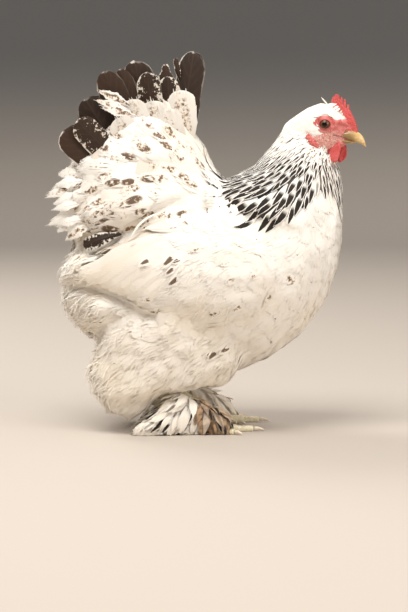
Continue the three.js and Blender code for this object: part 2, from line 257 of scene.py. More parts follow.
def alongLine(x, z, x0, z0, x1, z1):  # share of the line at its nearest place, and how far off
    length = (x1 - x0) ** 2 + (z1 - z0) ** 2
    share = np.clip(((x - x0) * (x1 - x0) + (z - z0) * (z1 - z0)) / length, 0, 1)
    return share, np.hypot(x - x0 - share * (x1 - x0), z - z0 - share * (z1 - z0))


def lineDistance(x, z, line):
    return np.min([alongLine(x, z, *start, *end)[1] for start, end in zip(line[:-1], line[1:])], 0)


def bulgeLift(x, z, bulges):
    found = np.zeros(len(x))
    for *line, reach, height in bulges:
        share, away = alongLine(x, z, *line)
        dome = np.sqrt(np.clip(1 - (away / reach) ** 2, 0, 1))
        found = np.maximum(found, height * smoothStep(share, -0.1, 0.55) * dome)
    return found


def rearDrawnIn(table, owners):  # the tail end of saddle, trunk and thigh, narrower than the solids
    x, z = table[:, 0], table[:, 2]
    saddle = owners == "saddle"
    trunk = (owners == "trunk") & (z < rearEnd["trunkTop"])
    thigh = (owners == "thigh") & (z < rearEnd["thighTop"])
    heel = np.interp(z, thighHeel[:, 1], thighHeel[:, 0])
    edge = np.select([saddle, thigh], [rearEnd["saddleEdge"], heel], rearEnd["trunkEdge"])
    low, high = rearEnd["trunkPull"]
    trunkPull = low + (high - low) * smoothStep(z, *rearEnd["pullHeights"])
    pull = np.select([saddle, thigh], [rearEnd["saddlePull"], rearEnd["thighPull"]], trunkPull)
    return np.where((saddle | trunk | thigh) & (x < edge), edge + (x - edge) * (1 - pull), x)


def sculptBody(made):
    points = pointsOf(made)
    table = toTable(points)
    owners = fleshKinds[ownerOf(points)]
    table[:, 0] = rearDrawnIn(table, owners)
    x, y, z = table.T
    sideways = smoothStep(np.abs(y), 30, 55)
    lift = np.zeros(len(points))
    for depth, half, line in creases:
        lift -= depth * sideways * np.exp(-((lineDistance(x, z, line) / half) ** 2))
    rear = 1 + 1.6 * np.clip((-x - 60) / 60, 0, 1) * (z < rearEnd["trunkTop"])
    for kind, (height, frequency) in puffs.items():
        mine = owners == kind
        heights = height * (rear[mine] if kind == "trunk" else 1)
        lift[mine] += heights * (np.abs(wobbles(table[mine], frequency)) * 2.2 - 0.55)
    outer = smoothStep(np.abs(y), 18, 40)
    lift += (owners == "saddle") * outer * (bulgeLift(x, z, cushions) - cushionHollow)
    lift += np.isin(owners, ["trunk", "thigh"]) * outer * bulgeLift(x, z, flanks)
    movePoints(made, toMetres(table) + normalsOf(made) * lift[:, None] * mm)
    applyModifier(made, "SMOOTH", factor=0.5, iterations=2)
    return made


bodySurface = Surface(sculptBody(surfaceOf("bodyForm", fleshNodes, voxel=3.2, rounds=5)))
headSurface = Surface(surfaceOf("headForm", ["head", "neck"], voxel=1.7, rounds=4))
bootSurface = Surface(surfaceOf("bootForm", ["boot_right", "boot_left"], voxel=1.6, rounds=3))
print("surfaces", [len(s.points) for s in (bodySurface, headSurface, bootSurface)])

# ---- which way the feathers lie: a place, then the way there; for the left side, and mirrored

lieOfCoat = np.array([
    # head, before it is turned
    (176, 6, 366, -0.5, 0.1, 0.8), (165, 5, 378, -0.8, 0, 0.5), (140, 8, 388, -1, 0, 0.05),
    (112, 8, 377, -0.85, 0, -0.5), (135, 22, 375, -1, 0, 0.1), (115, 21, 358, -0.85, 0, -0.5),
    (122, 22, 345, -0.75, 0, -0.65), (135, 18, 330, -0.5, 0, -0.85), (155, 10, 330, -0.1, 0, -1),
    # neck
    (95, 10, 360, -0.72, 0, -0.7), (110, 25, 335, -0.5, 0, -0.85), (70, 15, 330, -0.72, 0, -0.68),
    (85, 40, 310, -0.62, 0, -0.78), (40, 25, 303, -0.9, 0, -0.4), (45, 55, 285, -0.82, 0, -0.55),
    (75, 68, 265, -0.62, 0, -0.78), (110, 50, 290, -0.35, 0.05, -0.93), (115, 72, 255, -0.3, 0, -0.95),
    (150, 30, 300, -0.05, 0, -1), (160, 15, 270, 0, 0, -1),
    # breast and belly
    (163, 10, 235, -0.05, 0.02, -1), (140, 55, 225, -0.25, 0.05, -0.97), (115, 75, 215, -0.6, 0, -0.8),
    (150, 20, 170, -0.4, 0.02, -0.9), (115, 60, 150, -0.75, 0, -0.6), (110, 15, 108, -0.85, 0, -0.5),
    (60, 20, 72, -1, 0, -0.15), (70, 70, 120, -0.92, 0, -0.35), (0, 10, 62, -1, 0, 0),
    (-60, 10, 72, -0.95, 0, -0.2),
    # back, cushion and tail coverts
    (10, 20, 297, -0.98, 0, 0.1), (20, 65, 265, -0.95, 0, -0.2), (-5, 15, 325, -0.6, 0, 0.8),
    (-20, 30, 345, -0.6, 0, 0.75), (-20, 20, 370, -0.25, 0.1, 0.95), (-45, 25, 390, -0.25, 0.15, 0.95),
    (-80, 30, 380, -0.5, 0.1, 0.85), (-25, 60, 310, -0.93, 0, 0.3), (-65, 55, 330, -0.9, 0.05, 0.35),
    (-60, 50, 355, -0.72, 0.05, 0.65), (-120, 45, 350, -0.8, 0.05, 0.55),
    (-150, 45, 325, -0.93, 0.05, 0.2), (-110, 65, 305, -0.98, 0, -0.05), (-60, 75, 285, -0.98, 0, -0.1),
    (-50, 80, 262, -0.97, 0, -0.2), (-100, 70, 265, -0.95, 0, -0.3), (-140, 60, 280, -0.93, 0, -0.3),
    (-150, 50, 245, -0.85, 0, -0.5), (-175, 25, 265, -0.8, 0, -0.55), (-160, 0, 320, -0.9, 0, -0.2),
    # wing
    (90, 78, 205, -0.85, 0.05, -0.5), (50, 98, 215, -0.8, 0, -0.6), (0, 104, 225, -0.8, 0, -0.58),
    (-30, 104, 200, -0.76, 0, -0.65), (40, 105, 170, -0.85, 0, -0.5), (-20, 102, 160, -0.88, 0, -0.45),
    (0, 95, 135, -0.97, 0, -0.2), (-75, 92, 210, -0.88, 0, -0.48), (-80, 90, 160, -0.95, 0, 0.1),
    (-125, 74, 190, -0.97, 0, -0.22),
    # vent and fluff
    (-165, 25, 205, -0.6, 0, -0.8), (-150, 45, 175, -0.75, 0, -0.65), (-150, 20, 140, -0.6, 0, -0.8),
    (-110, 70, 135, -0.88, 0, -0.45), (-30, 90, 115, -0.9, 0, -0.4), (30, 80, 105, -0.85, 0, -0.5),
    (40, 70, 75, -0.75, 0, -0.65), (-60, 88, 80, -0.85, 0, -0.5), (-125, 60, 85, -0.65, 0, -0.75),
    (-130, 50, 45, -0.5, 0, -0.85), (-80, 75, 45, -0.75, 0, -0.6), (-20, 70, 50, -0.7, 0, -0.7),
    (-90, 45, 18, -0.7, 0, -0.5), (-60, 25, 100, -0.8, 0, -0.6),
])
liePlaces, lieWays = lieOfCoat[:, :3], unit(lieOfCoat[:, 3:])
headTurn = {"angle": math.radians(-14), "x": 118, "low": 312, "high": 335}  # as the head node is turned


def swung(table, angle):  # about the head's upright axis
    ahead, y = table[..., 0] - headTurn["x"], table[..., 1]
    turned = table.copy()
    turned[..., 0] = headTurn["x"] + ahead * np.cos(angle) - y * np.sin(angle)
    turned[..., 1] = ahead * np.sin(angle) + y * np.cos(angle)
    return turned


def unturned(points):  # table millimetres in the head's own frame, before its turn
    return swung(toTable(points), -headTurn["angle"])


def turnedIn(inHead):  # and back to metres
    return toMetres(swung(np.asarray(inHead, float), headTurn["angle"]))


def straightened(points):  # as unturned, fading out down the neck
    table = toTable(points)
    share = smoothStep(table[:, 2], headTurn["low"], headTurn["high"])
    share = share * smoothStep(table[:, 0], headTurn["x"] - 25, headTurn["x"])
    return swung(table, -headTurn["angle"] * share)


def lieAt(points):
    table = straightened(points)
    side = np.where(table[:, 1] < 0, -1.0, 1.0)
    table[:, 1] = np.abs(table[:, 1])
    apart = ((table[:, None] - liePlaces[None]) ** 2).sum(2)
    weights = 1 / (apart + 60) ** 2
    ways = (weights[..., None] * lieWays[None]).sum(1)
    ways[:, 1] *= side
    return unit(ways)


# ---- feathers: each is a closed thin vane, crowned on top and flat beneath

barbRows = np.array([0, 0.4, 0.75, 1.0])
bodyRows = np.array([0, 0.3, 0.55, 0.75, 0.9, 1.0])
longRows = np.array([0, 0.2, 0.4, 0.58, 0.74, 0.87, 0.95, 1.0])
smallAcross = (-1, 0, 1)
halfAcross = (-1, -0.55, 0, 0.55, 1)


def roundTip(t, start, span):
    return np.sqrt(np.clip(1 - (np.clip(t - start, 0, 1) / span) ** 2, 0, 1))


def roundVane(t):
    return (0.3 + 0.7 * smoothStep(t, 0, 0.5)) * roundTip(t, 0.55, 0.46)


def pointedVane(t):
    tip = np.clip(1 - np.clip((t - 0.5) / 0.5, 0, 1) ** 1.8, 0.04, 1)
    return (0.35 + 0.65 * smoothStep(t, 0, 0.5)) * tip


def traced(surface, roots, normals, lengths, rows, wander, lieOf):
    count = len(roots)
    spine = np.zeros((count, len(rows), 3))
    ups = np.zeros((count, len(rows), 3))
    spine[:, 0] = roots
    ups[:, 0] = normals
    turn = rng.normal(0, math.radians(wander), count)[:, None]
    way = None
    for row in range(1, len(rows)):
        point = spine[:, row - 1]
        up = ups[:, row - 1]
        lie = across(lieOf(point), up)
        lie = lie * np.cos(turn) + np.cross(up, lie) * np.sin(turn)
        way = lie if way is None else unit(0.35 * way + 0.65 * lie)
        step = (rows[row] - rows[row - 1]) * lengths[:, None]
        spine[:, row], ups[:, row] = surface.nearest(point + way * step)
    return spine, ups


def vaneMesh(name, spine, ups, halfWidths, style, marks, patches, span=None, hug=None):
    # halfWidths is per feather and row; patches gives each feather's place and size on OFBake;
    # span is the part of a feather that each one stands for: middle, half width, first, last;
    # hug is a surface and the height over it of each feather's rows, to bend the vane to it
    count, rowCount = halfWidths.shape
    rows, wide = np.asarray(style["rows"]), np.asarray(style["across"])
    ring = len(wide)
    last = ring - 1
    along = np.gradient(spine, axis=1)
    sideways = unit(np.cross(ups, along))
    crown = style["crown"] * halfWidths[..., None] * (1 - wide ** 2)
    if "shaft" in style:
        crown = crown + style["shaft"] * mm * np.exp(-((wide / 0.07) ** 2)) * (1 - rows[:, None] * 0.8)
    points = spine[:, :, None] + sideways[:, :, None] * (halfWidths[..., None] * wide)[..., None]
    outwards = np.broadcast_to(ups[:, :, None], points.shape)
    if hug is not None:
        surface, heights = hug
        spots, outwards = surface.nearest(points.reshape(-1, 3))
        outwards = outwards.reshape(points.shape)
        points = spots.reshape(points.shape) + outwards * heights[..., None, None]
    points = points + outwards * crown[..., None]
    ragged = rng.normal(0, 1, (count, 1, ring)) * style["ragged"] * (rows ** 3)[None, :, None]
    length = np.linalg.norm(along, axis=2).sum(1)[:, None, None]
    points = points + unit(along)[:, :, None] * (ragged * length)[..., None]
    points[..., 2] = np.maximum(points[..., 2], floorLift)
    first = (np.arange(count) * rowCount * ring)[:, None, None]
    row = (np.arange(rowCount - 1) * ring)[None, :, None]
    low = first + row + np.arange(last)
    top = np.stack([low, low + ring, low + ring + 1, low + 1], -1).reshape(-1, 4)
    edge = first[..., 0] + row[..., 0]
    under = np.stack([edge, edge + last, edge + ring + last, edge + ring], -1).reshape(-1, 4)
    rootEnd = first[:, 0] + np.arange(ring)
    tipEnd = first[:, 0] + (rowCount - 1) * ring + np.arange(last, -1, -1)
    piece = meshFromArrays(name, points.reshape(-1, 3), [top, under, rootEnd, tipEnd])
    piece.data.set_sharp_from_angle(angle=math.radians(50))
    t = np.broadcast_to(rows[None, :, None], (count, rowCount, ring))
    u = np.broadcast_to(wide, (count, rowCount, ring))
    if span is not None:
        middle, half, begins, ends = [part[:, None, None] for part in span]
        u = middle + half * u
        t = begins + (ends - begins) * t
    where, size = patches
    onPatch = where[:, None, None] + np.stack([u, np.minimum(t, 1) * 2 - 1], -1) * size * 0.5
    corners = readAll(piece.data.loops, "vertex_index", kind=int)
    for label, spots in (("vane", np.stack([u * 0.5 + 0.5, t], -1)), ("OFBake", onPatch)):
        layer = piece.data.uv_layers.new(name=label)
        layer.data.foreach_set("uv", spots.reshape(-1, 2)[corners].ravel())
    for label, values in marks.items():
        addAttribute(piece, label, np.repeat(values, rowCount * ring))
    return piece


def between(values, rows, t):  # values along each feather's rows, read at its own t
    index = np.clip(np.searchsorted(rows, t) - 1, 0, len(rows) - 2)
    share = (t - rows[index]) / (rows[index + 1] - rows[index])
    feather = np.arange(len(values))[:, None]
    if values.ndim == 3:
        share = share[..., None]
    return values[feather, index] * (1 - share) + values[feather, index + 1] * share


def fringe(name, spine, ups, halfWidths, style, marks, patches, hug=None):
    # slim pointed locks of barbs that leave a feather's upper side and run out past its edge
    look = style["fringe"]
    rows = np.asarray(style["rows"])
    each = look["count"]
    place = np.tile(np.linspace(-1, 1, each), len(spine)) + rng.normal(0, 0.5 / each, len(spine) * each)
    spine, ups, halfWidths = [np.repeat(part, each, 0) for part in (spine, ups, halfWidths)]
    begins = look["start"] + rng.uniform(-0.06, 0.06, len(place))
    ends = look["reach"] * (1 - 0.2 * place ** 2) + rng.normal(0, look["uneven"], len(place))
    t = begins[:, None] + (ends - begins)[:, None] * barbRows
    points = between(spine, rows, t)
    lifts = unit(between(ups, rows, np.minimum(t, 1)))
    wide = between(halfWidths, rows, np.minimum(t, 0.8))
    sideways = unit(np.cross(lifts, unit(np.gradient(points, axis=1))))
    out = place[:, None] * wide * (0.72 + (look["spread"] - 0.72) * barbRows ** 1.5)
    droop = style["crown"] * wide * (1 - np.minimum(np.abs(place), 1)[:, None] ** 2)
    rise = rng.uniform(-0.1, 1, len(place))[:, None] * look["lift"] * mm * barbRows
    above = droop + 0.04 * mm + rise
    points = points + sideways * out[..., None]
    if hug is None:
        points = points + lifts * above[..., None]
    else:
        hug = hug[0], above + between(np.repeat(hug[1], each, 0), rows, np.minimum(t, 1))
    points[..., 2] = np.maximum(points[..., 2], floorLift * 2)
    slim = np.array([1, 0.95, 0.62, 0.06]) * look["width"]
    lockWidths = np.maximum(wide * slim * rng.uniform(0.8, 1.2, (len(place), 1)), 0.12 * mm)
    lockStyle = {"rows": barbRows, "across": smallAcross, "crown": 0.05, "ragged": 0.0}
    marks = {label: np.repeat(values, each) for label, values in marks.items()}
    span = (place * 0.85, np.full(len(place), look["width"]), begins, ends)
    patches = np.repeat(patches[0], each, 0), patches[1]
    return vaneMesh(name, points, lifts, lockWidths, lockStyle, marks, patches, span, hug)


def spacedOut(points, gaps, ways=None, stretch=1.0):
    # keeps each point that is at least its gap from all kept before it, or stretch times that
    # along its way
    keys = np.floor(points / (gaps.max() * stretch)).astype(int).tolist()
    ways = np.zeros(points.shape) if ways is None else ways
    squeeze = 1 - 1 / stretch ** 2
    grid = {}
    kept = []
    steps = (-1, 0, 1)
    cells = [(a, b, c) for a in steps for b in steps for c in steps]
    listed = zip(points.tolist(), ways.tolist(), gaps.tolist(), keys)
    for index, (point, way, gap, key) in enumerate(listed):
        limit = gap * gap
        free = True
        for a, b, c in cells:
            for q in grid.get((key[0] + a, key[1] + b, key[2] + c), ()):
                x, y, z = q[0] - point[0], q[1] - point[1], q[2] - point[2]
                along = x * way[0] + y * way[1] + z * way[2]
                if x * x + y * y + z * z - squeeze * along * along < limit:
                    free = False
                    break
            if not free:
                break
        if free:
            grid.setdefault(tuple(key), []).append(point)
            kept.append(index)
    return np.array(kept)


def unwrapped(points, centre, axis):  # round the axis and along it, as fractions of the whole
    axis = unit(np.array(axis, float))
    sideways = np.array([0.0, 1.0, 0.0])
    away = toTable(points) - np.array(centre, float)
    angle = np.arctan2(away @ sideways, away @ unit(np.cross(axis, sideways)))
    height = away @ axis
    height = (height - height.min()) / max(np.ptp(height), 1e-6)
    return np.stack([0.02 + 0.96 * (angle / (2 * math.pi) + 0.5), 0.02 + 0.96 * height], 1)


# ---- where the markings are, shared by the skin and the coat

capeEdge = np.array([
    (-26, 298), (-12, 290), (6, 276), (14, 262), (33, 233), (62, 230), (76, 231), (98, 238),
    (114, 248), (128, 262), (138, 268), (150, 264), (162, 252), (180, 248),
], float)
bareAreas = [  # middle and reach (x, z) in the head's own frame: round the eye, lores, cheek, jaw
    (147, 364.6, 14.5, 9.6), (166, 362, 12, 8.4), (155, 345, 16, 12), (141, 343, 10, 9), (171, 352, 9, 10),
    (153, 355, 12, 6), (178, 360, 7, 8),
]
earTuft = (130, 357, 10, 7)
lobe = {"ends": ((125, 353), (141, 336)), "reach": 1.7}  # feathers stop this far round it
coatSpots = [  # tip's place, strength and size of each lone dark spot on the wing, breast and thigh; the one at (-66, 146) is painted shade along the wing's lower edge
    (-82, 205, 1.5, 0.75), (-54, 209, 1.4, 0.9), (-36, 206, 1.1, 0.6), (-47, 192, 1.2, 0.6),
    (-45, 180, 1.4, 0.75), (-82, 160, 0.8, 0.7), (22, 206, 0.5, 0.8), (-12, 221, 0.6, 0.8),
    (60, 190, 0.8, 0.8), (28, 182, 0.6, 0.7), (34, 142, 0.8, 0.7), (-66, 146, 0.8, 0.8),
    (24, 96, 1.4, 0.8), (15, 93, 1.6, 0.8), (7, 91, 1.2, 0.7), (84, 150, 0.5, 0.8),
]


def aboveCape(table):  # height above the cape's lower edge, in millimetres
    return table[:, 2] - np.interp(table[:, 0], capeEdge[:, 0], capeEdge[:, 1])


def capeDark(table):
    high = 1 - smoothStep(table[:, 2], 284, 342)
    front = 1 - 0.6 * smoothStep(table[:, 0], 108, 134)
    return np.clip(high * front * (aboveCape(table) > -8), 0, 1)


def ovalDistance(inHead, x, z, wide, high):
    return np.hypot((inHead[:, 0] - x) / wide, (inHead[:, 2] - z) / high)


def bareness(inHead):  # 1 where the face is bare, 0 where it is feathered
    nearest = np.min([ovalDistance(inHead, *area) for area in bareAreas], 0)
    bare = 1 - smoothStep(nearest, 0.9, 1.08)
    bare = bare * smoothStep(ovalDistance(inHead, *earTuft), 0.8, 1.05)
    onSide = smoothStep(np.abs(inHead[:, 1]), 5, 9)
    return bare * np.maximum(onSide, smoothStep(inHead[:, 0], 158, 166))


def onFace(points):
    inHead = unturned(points)
    x, y, z = inHead.T
    byLobe = (lineDistance(x, z, lobe["ends"]) < lobe["reach"]) & (np.abs(y) > 12)
    wattles = (np.abs(x - 157) < 10) & (np.abs(z - 330) < 14) & (np.abs(y) < 15)
    return ((bareness(inHead) > 0.4) & (z > 325)) | byLobe | wattles


def coatMarks(name, table):
    # table is where the tips are; dark is for laced centres and for the painted shade in the saddle's
    # folds, mark for spots and scribbles and for painted shade on saddle feathers tucked into the fold
    # over the wing
    x, y, z = table.T
    count = len(table)
    chance = rng.random(count)
    dark, mark = np.zeros(count), np.zeros(count)
    if name == "hackle":
        dark = capeDark(table) * rng.uniform(0.8, 1.1, count)
        streaked = (x > 122) & (z < 322)
        dark = np.clip(np.where(streaked, (chance < 0.85) * rng.uniform(0.25, 0.6, count), dark), 0, 1)
    elif name == "saddle":
        mark = (chance < 0.64) * rng.uniform(0.3, 1.15, count)
        rear = (x < -118) & (z < 305) & (chance < 0.7)
        mark = np.where(rear, rng.uniform(0.6, 1.1, count), mark)
        # painted shade: saddle feathers tucked into the fold over the wing get dark marks
        tuckedInShade = (x < -84) & (x > -144) & (lineDistance(x, z, creases[0][2]) < 9)
        mark = np.where(tuckedInShade, 0.75, mark)
    elif name.startswith("wing") or name == "breast":
        mark = (chance < 0.006) * 0.6
    elif name == "head":
        mark = ((x > 112) & (z < 340) & (chance < 0.4)) * 0.9
    elif name == "spot":
        mark = np.tile([strength for *place, strength, size in coatSpots], 2)
    elif name == "foot":
        brown = (x > -14) & (y < 0)
        likely = np.where(brown, 0.35, np.where(z > 28, 0.16, 0.4))
        dark = (chance < likely) * rng.uniform(0.15, 0.6, count)
        dark = np.where((y > 0) & (x > -4), 0.3 * dark, dark)
        mark = brown * rng.uniform(0.6, 1, count)
    tone = rng.random(count)
    # painted shade: saddle feathers in the folds between the cushions are made creamier through tone and
    # tan through dark
    if name == "saddle":
        foldShade = 1 - np.clip(bulgeLift(x, z, cushions) / 5, 0, 1)
        tone = tone + 2.2 * foldShade * (x < -40)
        dark = foldShade * fadeOut(x, -90, -50)
    return {"tone": tone, "dark": dark, "mark": mark}


def plainMarks(tone, **others):
    return {"tone": tone, "dark": np.zeros(len(tone)), "mark": np.zeros(len(tone)), **others}


# ---- the coat
# Sizes are in millimetres, for a full-sized feather: gap is the least distance between roots, depth
# how far a root is sunk, jitter and wander (degrees) the unevenness, overhang how far a tip that
# reaches past its own nodes stands out, and proud how far every tip does. small is the least share
# of the full size, then the axis, and the part of it, along which the size shrinks to that share.
# wrap and patch place a feather on OFBake.

soft = dict(count=5, start=0.55, reach=1.06, spread=0.95, width=0.27, uneven=0.07, lift=0.25)
usual = dict(rise=1.4, across=halfAcross, rows=bodyRows, shape=roundVane, jitter=0.2)
wing = dict(
    usual, length=40, width=25, gap=8.6, depth=2.8, crown=0.05, ragged=0.03, wander=5, patch=0.008,
    overhang=1.6, fringe=soft, small=(0.75, 0, 0, 80),
)
fluff = dict(
    usual, length=36, width=22, gap=8.0, depth=4.0, crown=0.08, ragged=0.08, wander=11, patch=0.004,
    jitter=0.3,
    fringe=dict(soft, count=8, start=0.35, reach=1.2, spread=1.15, width=0.2, uneven=0.1, lift=1.1),
)
styles = {
    "hackle": dict(
        usual, nodes=["neck"], length=44, width=10.0, gap=6.9, stretch=2.15, depth=2.4, rise=1.3,
        crown=0.07, ragged=0.01, wander=3, rows=longRows, shape=pointedVane, patch=0.014, jitter=0.08,
        proud=0.8, wrap=((90, 0, 250), (0.45, 0, 1)), small=(0.42, 2, 262, 352),
    ),
    "breast": dict(
        usual, nodes=["trunk"], length=36, width=26, gap=8.4, depth=2.8, crown=0.05, ragged=0.04,
        wander=6, patch=0.004, fringe=soft, wrap=((0, 0, 180), (1, 0, 0)), small=(0.8, 2, 180, 270),
    ),
    "saddle": dict(
        usual, nodes=["saddle"], length=58, width=28, gap=10, depth=4.2, crown=0.06, ragged=0.03,
        wander=6, rows=longRows, patch=0.008, jitter=0.3, overhang=4.0,
        wrap=((-80, 0, 300), (0, 0, 1)), fringe=dict(soft, count=7, width=0.22, lift=0.45),
    ),
    "wingRight": dict(wing, nodes=["wing_right"], wrap=((0, -60, 190), (1, 0, 0))),
    "fluffRight": dict(fluff, nodes=["thigh_right"], wrap=((-40, -50, 90), (0, 0, 1))),
    "wingLeft": dict(wing, nodes=["wing_left"], wrap=((0, 60, 190), (1, 0, 0))),
    "fluffLeft": dict(fluff, nodes=["thigh_left"], wrap=((-40, 50, 90), (0, 0, 1))),
}
spotStyle = dict(
    styles["wingRight"], length=34, width=13, overhang=2.2, jitter=0.0, wander=4, ragged=0.05,
)
plumeStyle = dict(  # fine loose plumes that stand out a little, most of all round the fluff
    usual, length=19, width=0.9, gap=4.6, depth=2.0, rise=1.2, crown=0.3, ragged=0.0, wander=22,
    across=smallAcross, rows=barbRows, shape=pointedVane, patch=0.003, overhang=3.2,
    wrap=((-30, 0, 170), (1, 0, 0)),
)
headStyle = dict(
    usual, length=10.5, width=4.6, gap=1.8, depth=0.7, crown=0.06, ragged=0.03, wander=5,
    across=smallAcross, rows=barbRows, patch=0.003, jitter=0.06, wrap=((135, 0, 350), (0, 0, 1)),
)
footStyle = dict(
    usual, length=30, width=9, gap=5.0, depth=3.0, crown=0.14, ragged=0.03, wander=10, stretch=1.5,
    shape=pointedVane, patch=0.012, jitter=0.5, overhang=4.5, wrap=((-25, 0, 20), (0, 1, 0)),
    fringe=dict(soft, count=4, width=0.26, start=0.5, uneven=0.03),
)
scattered = {"body": 150000, "head": 40000, "boot": 9000}  # places that are tried for a root
candidates, candidateUps = bodySurface.scatter(scattered["body"])
candidateLie = across(lieAt(candidates), candidateUps)
candidateOwners = ownerOf(candidates)


def sizeAt(style, points):
    least, axis, start, end = style.get("small", (1, 0, 0, 1))
    return least + (1 - least) * fadeOut(toTable(points)[:, axis], start, end)


def feathers(name, parts, style, marks, patches, hug=None):  # parts are spines, ups and half widths
    made = vaneMesh(name, *parts, style, marks, patches, None, hug)
    if "fringe" in style:
        made = joinPieces(name, [made, fringe(name + "Locks", *parts, style, marks, patches, hug)])
    return made


def featherPiece(name, style, surface, roots, sizes, lieOf, outside=None):
    count = len(sizes)
    sizes = sizes * rng.uniform(0.88, 1.12, count)
    rows = style["rows"]
    spine, ups = traced(surface, *roots, style["length"] * mm * sizes, rows, style["wander"], lieOf)
    lift = -style["depth"] * mm * sizes[:, None] * (1 - rows) ** style["rise"]
    lift = lift + rng.normal(0, style["jitter"] * mm, count)[:, None]
    if "overhang" in style:
        edge = outside * rng.uniform(0.5, 1.1, count) * style["overhang"] * mm
        lift = lift + edge[:, None] * rows ** 1.5
    lift = lift + style.get("proud", 0) * mm * rows ** 2
    halfWidths = np.maximum(style["width"] * mm * 0.5 * sizes[:, None] * style["shape"](rows), 0.25 * mm)
    marks = coatMarks(name, toTable(spine[:, -1]))
    patches = unwrapped(roots[0], *style["wrap"]), style["patch"]
    made = feathers(name + "Feathers", (spine, ups, halfWidths), style, marks, patches, (surface, lift))
    triangles = sum(len(face.vertices) - 2 for face in made.data.polygons)
    print(name, count, "feathers,", triangles, "triangles")
    return made


def onVent(table):
    return (table[:, 0] < -64) & (table[:, 2] < 205)


def growCoat(name, style):
    reach = candidates + candidateLie * style["length"] * mm * sizeAt(style, candidates)[:, None] * 0.9
    owners = ownerOf(reach)
    mine = [fleshNodes.index(node) for node in style["nodes"]]
    outside = ~np.isin(owners, mine)
    chosen = ~outside
    if "overhang" in style:
        chosen = chosen | np.isin(candidateOwners, mine)
    table = toTable(reach)
    x, y, z = table.T
    cape = (aboveCape(table) > 0) & (x > 4)
    shoulder = cape & (z > 236)
    if name == "hackle":
        chosen = np.isin(owners, [0, 1, 2]) & cape & ~onFace(candidates) & ~onFace(reach)
    elif name == "saddle":
        chosen = chosen & ~cape
    elif name.startswith("wing"):
        smooth = x < rng.normal(-84, 7, len(table)) + 8 * np.sin(z * 0.21)
        chosen = chosen & ~(smooth & (z < 245)) & ~shoulder
    elif name.startswith("fluff"):
        side = sides[name[5:].lower()]
        chosen = chosen | ((owners == fleshNodes.index("trunk")) & onVent(table) & (y * side > 0))
    elif name == "breast":
        chosen = ((chosen & ~onVent(table)) | ((owners == 0) & ~cape)) & ~shoulder
    chosen = np.flatnonzero(chosen)
    sizes = sizeAt(style, candidates[chosen])
    gaps = style["gap"] * mm * sizes
    kept = spacedOut(candidates[chosen], gaps, candidateLie[chosen], style.get("stretch", 1.0))
    chosen, sizes = chosen[kept], sizes[kept]
    roots = candidates[chosen], candidateUps[chosen]
    return featherPiece(name, style, bodySurface, roots, sizes, lieAt, outside[chosen])


def growSpots():
    places = np.array([(x, side * 115.0, z) for side in sides.values() for x, z, *look in coatSpots])
    sizes = np.tile([size for *place, size in coatSpots], 2)
    tips, ups = bodySurface.nearest(toMetres(places))
    lengths = spotStyle["length"] * 0.95 * mm * sizes[:, None]
    roots = bodySurface.nearest(tips - lieAt(tips) * lengths)
    onWingTip = np.where(places[:, 0] < -74, 2.2, 1.0)
    return featherPiece("spot", spotStyle, bodySurface, roots, sizes, lieAt, onWingTip)


def growPlumes():
    x, y, z = toTable(candidates).T
    fluffy = fadeOut(z, 150, 250) * fadeOut(x, 5, 60)
    fluffy = np.maximum(fluffy, fadeOut(x, -150, -118) * (z < 330))
    chosen = np.flatnonzero((fluffy > 0.3) & (candidateOwners != headNode))
    chosen = chosen[spacedOut(candidates[chosen], np.full(len(chosen), plumeStyle["gap"] * mm))]
    roots = candidates[chosen], candidateUps[chosen]
    rear = fadeOut(x[chosen], -130, -90) * (z[chosen] < 250)
    return featherPiece("plume", plumeStyle, bodySurface, roots, 1 + 0.5 * rear, lieAt, 1 + 1.4 * rear)


coat = {name: growCoat(name, style) for name, style in styles.items()}
coat["spot"] = growSpots()
coat["plume"] = growPlumes()

# ---- the head's small feathers, and the stiff ones on the feet

combTufts = [  # root and tip (x, z) in the head's own frame and width, at the foot of the comb
    (146, 381, 154.5, 388.6, 3.6), (149.5, 380, 158.6, 388.2, 4.0), (153, 378, 160.5, 385.4, 4.0),
    (155.5, 376, 162.6, 383.0, 3.8), (157.5, 373, 164.6, 380.2, 3.8), (159, 370, 166.0, 377.0, 3.8),
    (160, 367, 167.0, 373.2, 3.6), (160.5, 364, 167.8, 369.6, 3.4), (161, 361.5, 168.2, 366.6, 3.2),
]
strayTuft = (149, 384, 139.6, 395.6, 1.9)  # only on the right
hock = {"place": (-18, 0, 62), "back": 0.35, "away": 0.22}


def growHead():
    points, ups = headSurface.scatter(scattered["head"])
    reach = points + across(lieAt(points), ups) * 6 * mm
    inHead = unturned(reach)
    x, y, z = inHead.T
    wanted = (ownerOf(reach) == headNode) | ((z > 352) & (x > 92))
    wanted = wanted | ((z > rng.normal(326, 7, len(points))) & (x > 128))
    wanted = wanted & ~onFace(reach) & (x < 166)
    underComb = (np.abs(y) < 2.6) & (x > 156) & (z > 370)
    chosen = np.flatnonzero(wanted & ~underComb)
    sizes = 0.62 + 0.6 * fadeOut(x[chosen], 112, 150)
    kept = spacedOut(points[chosen], headStyle["gap"] * mm * sizes)
    roots = points[chosen[kept]], ups[chosen[kept]]
    return featherPiece("head", headStyle, headSurface, roots, sizes[kept], lieAt)


def ruled(root, tip, rows):
    return root + (tip - root) * rows[:, None]


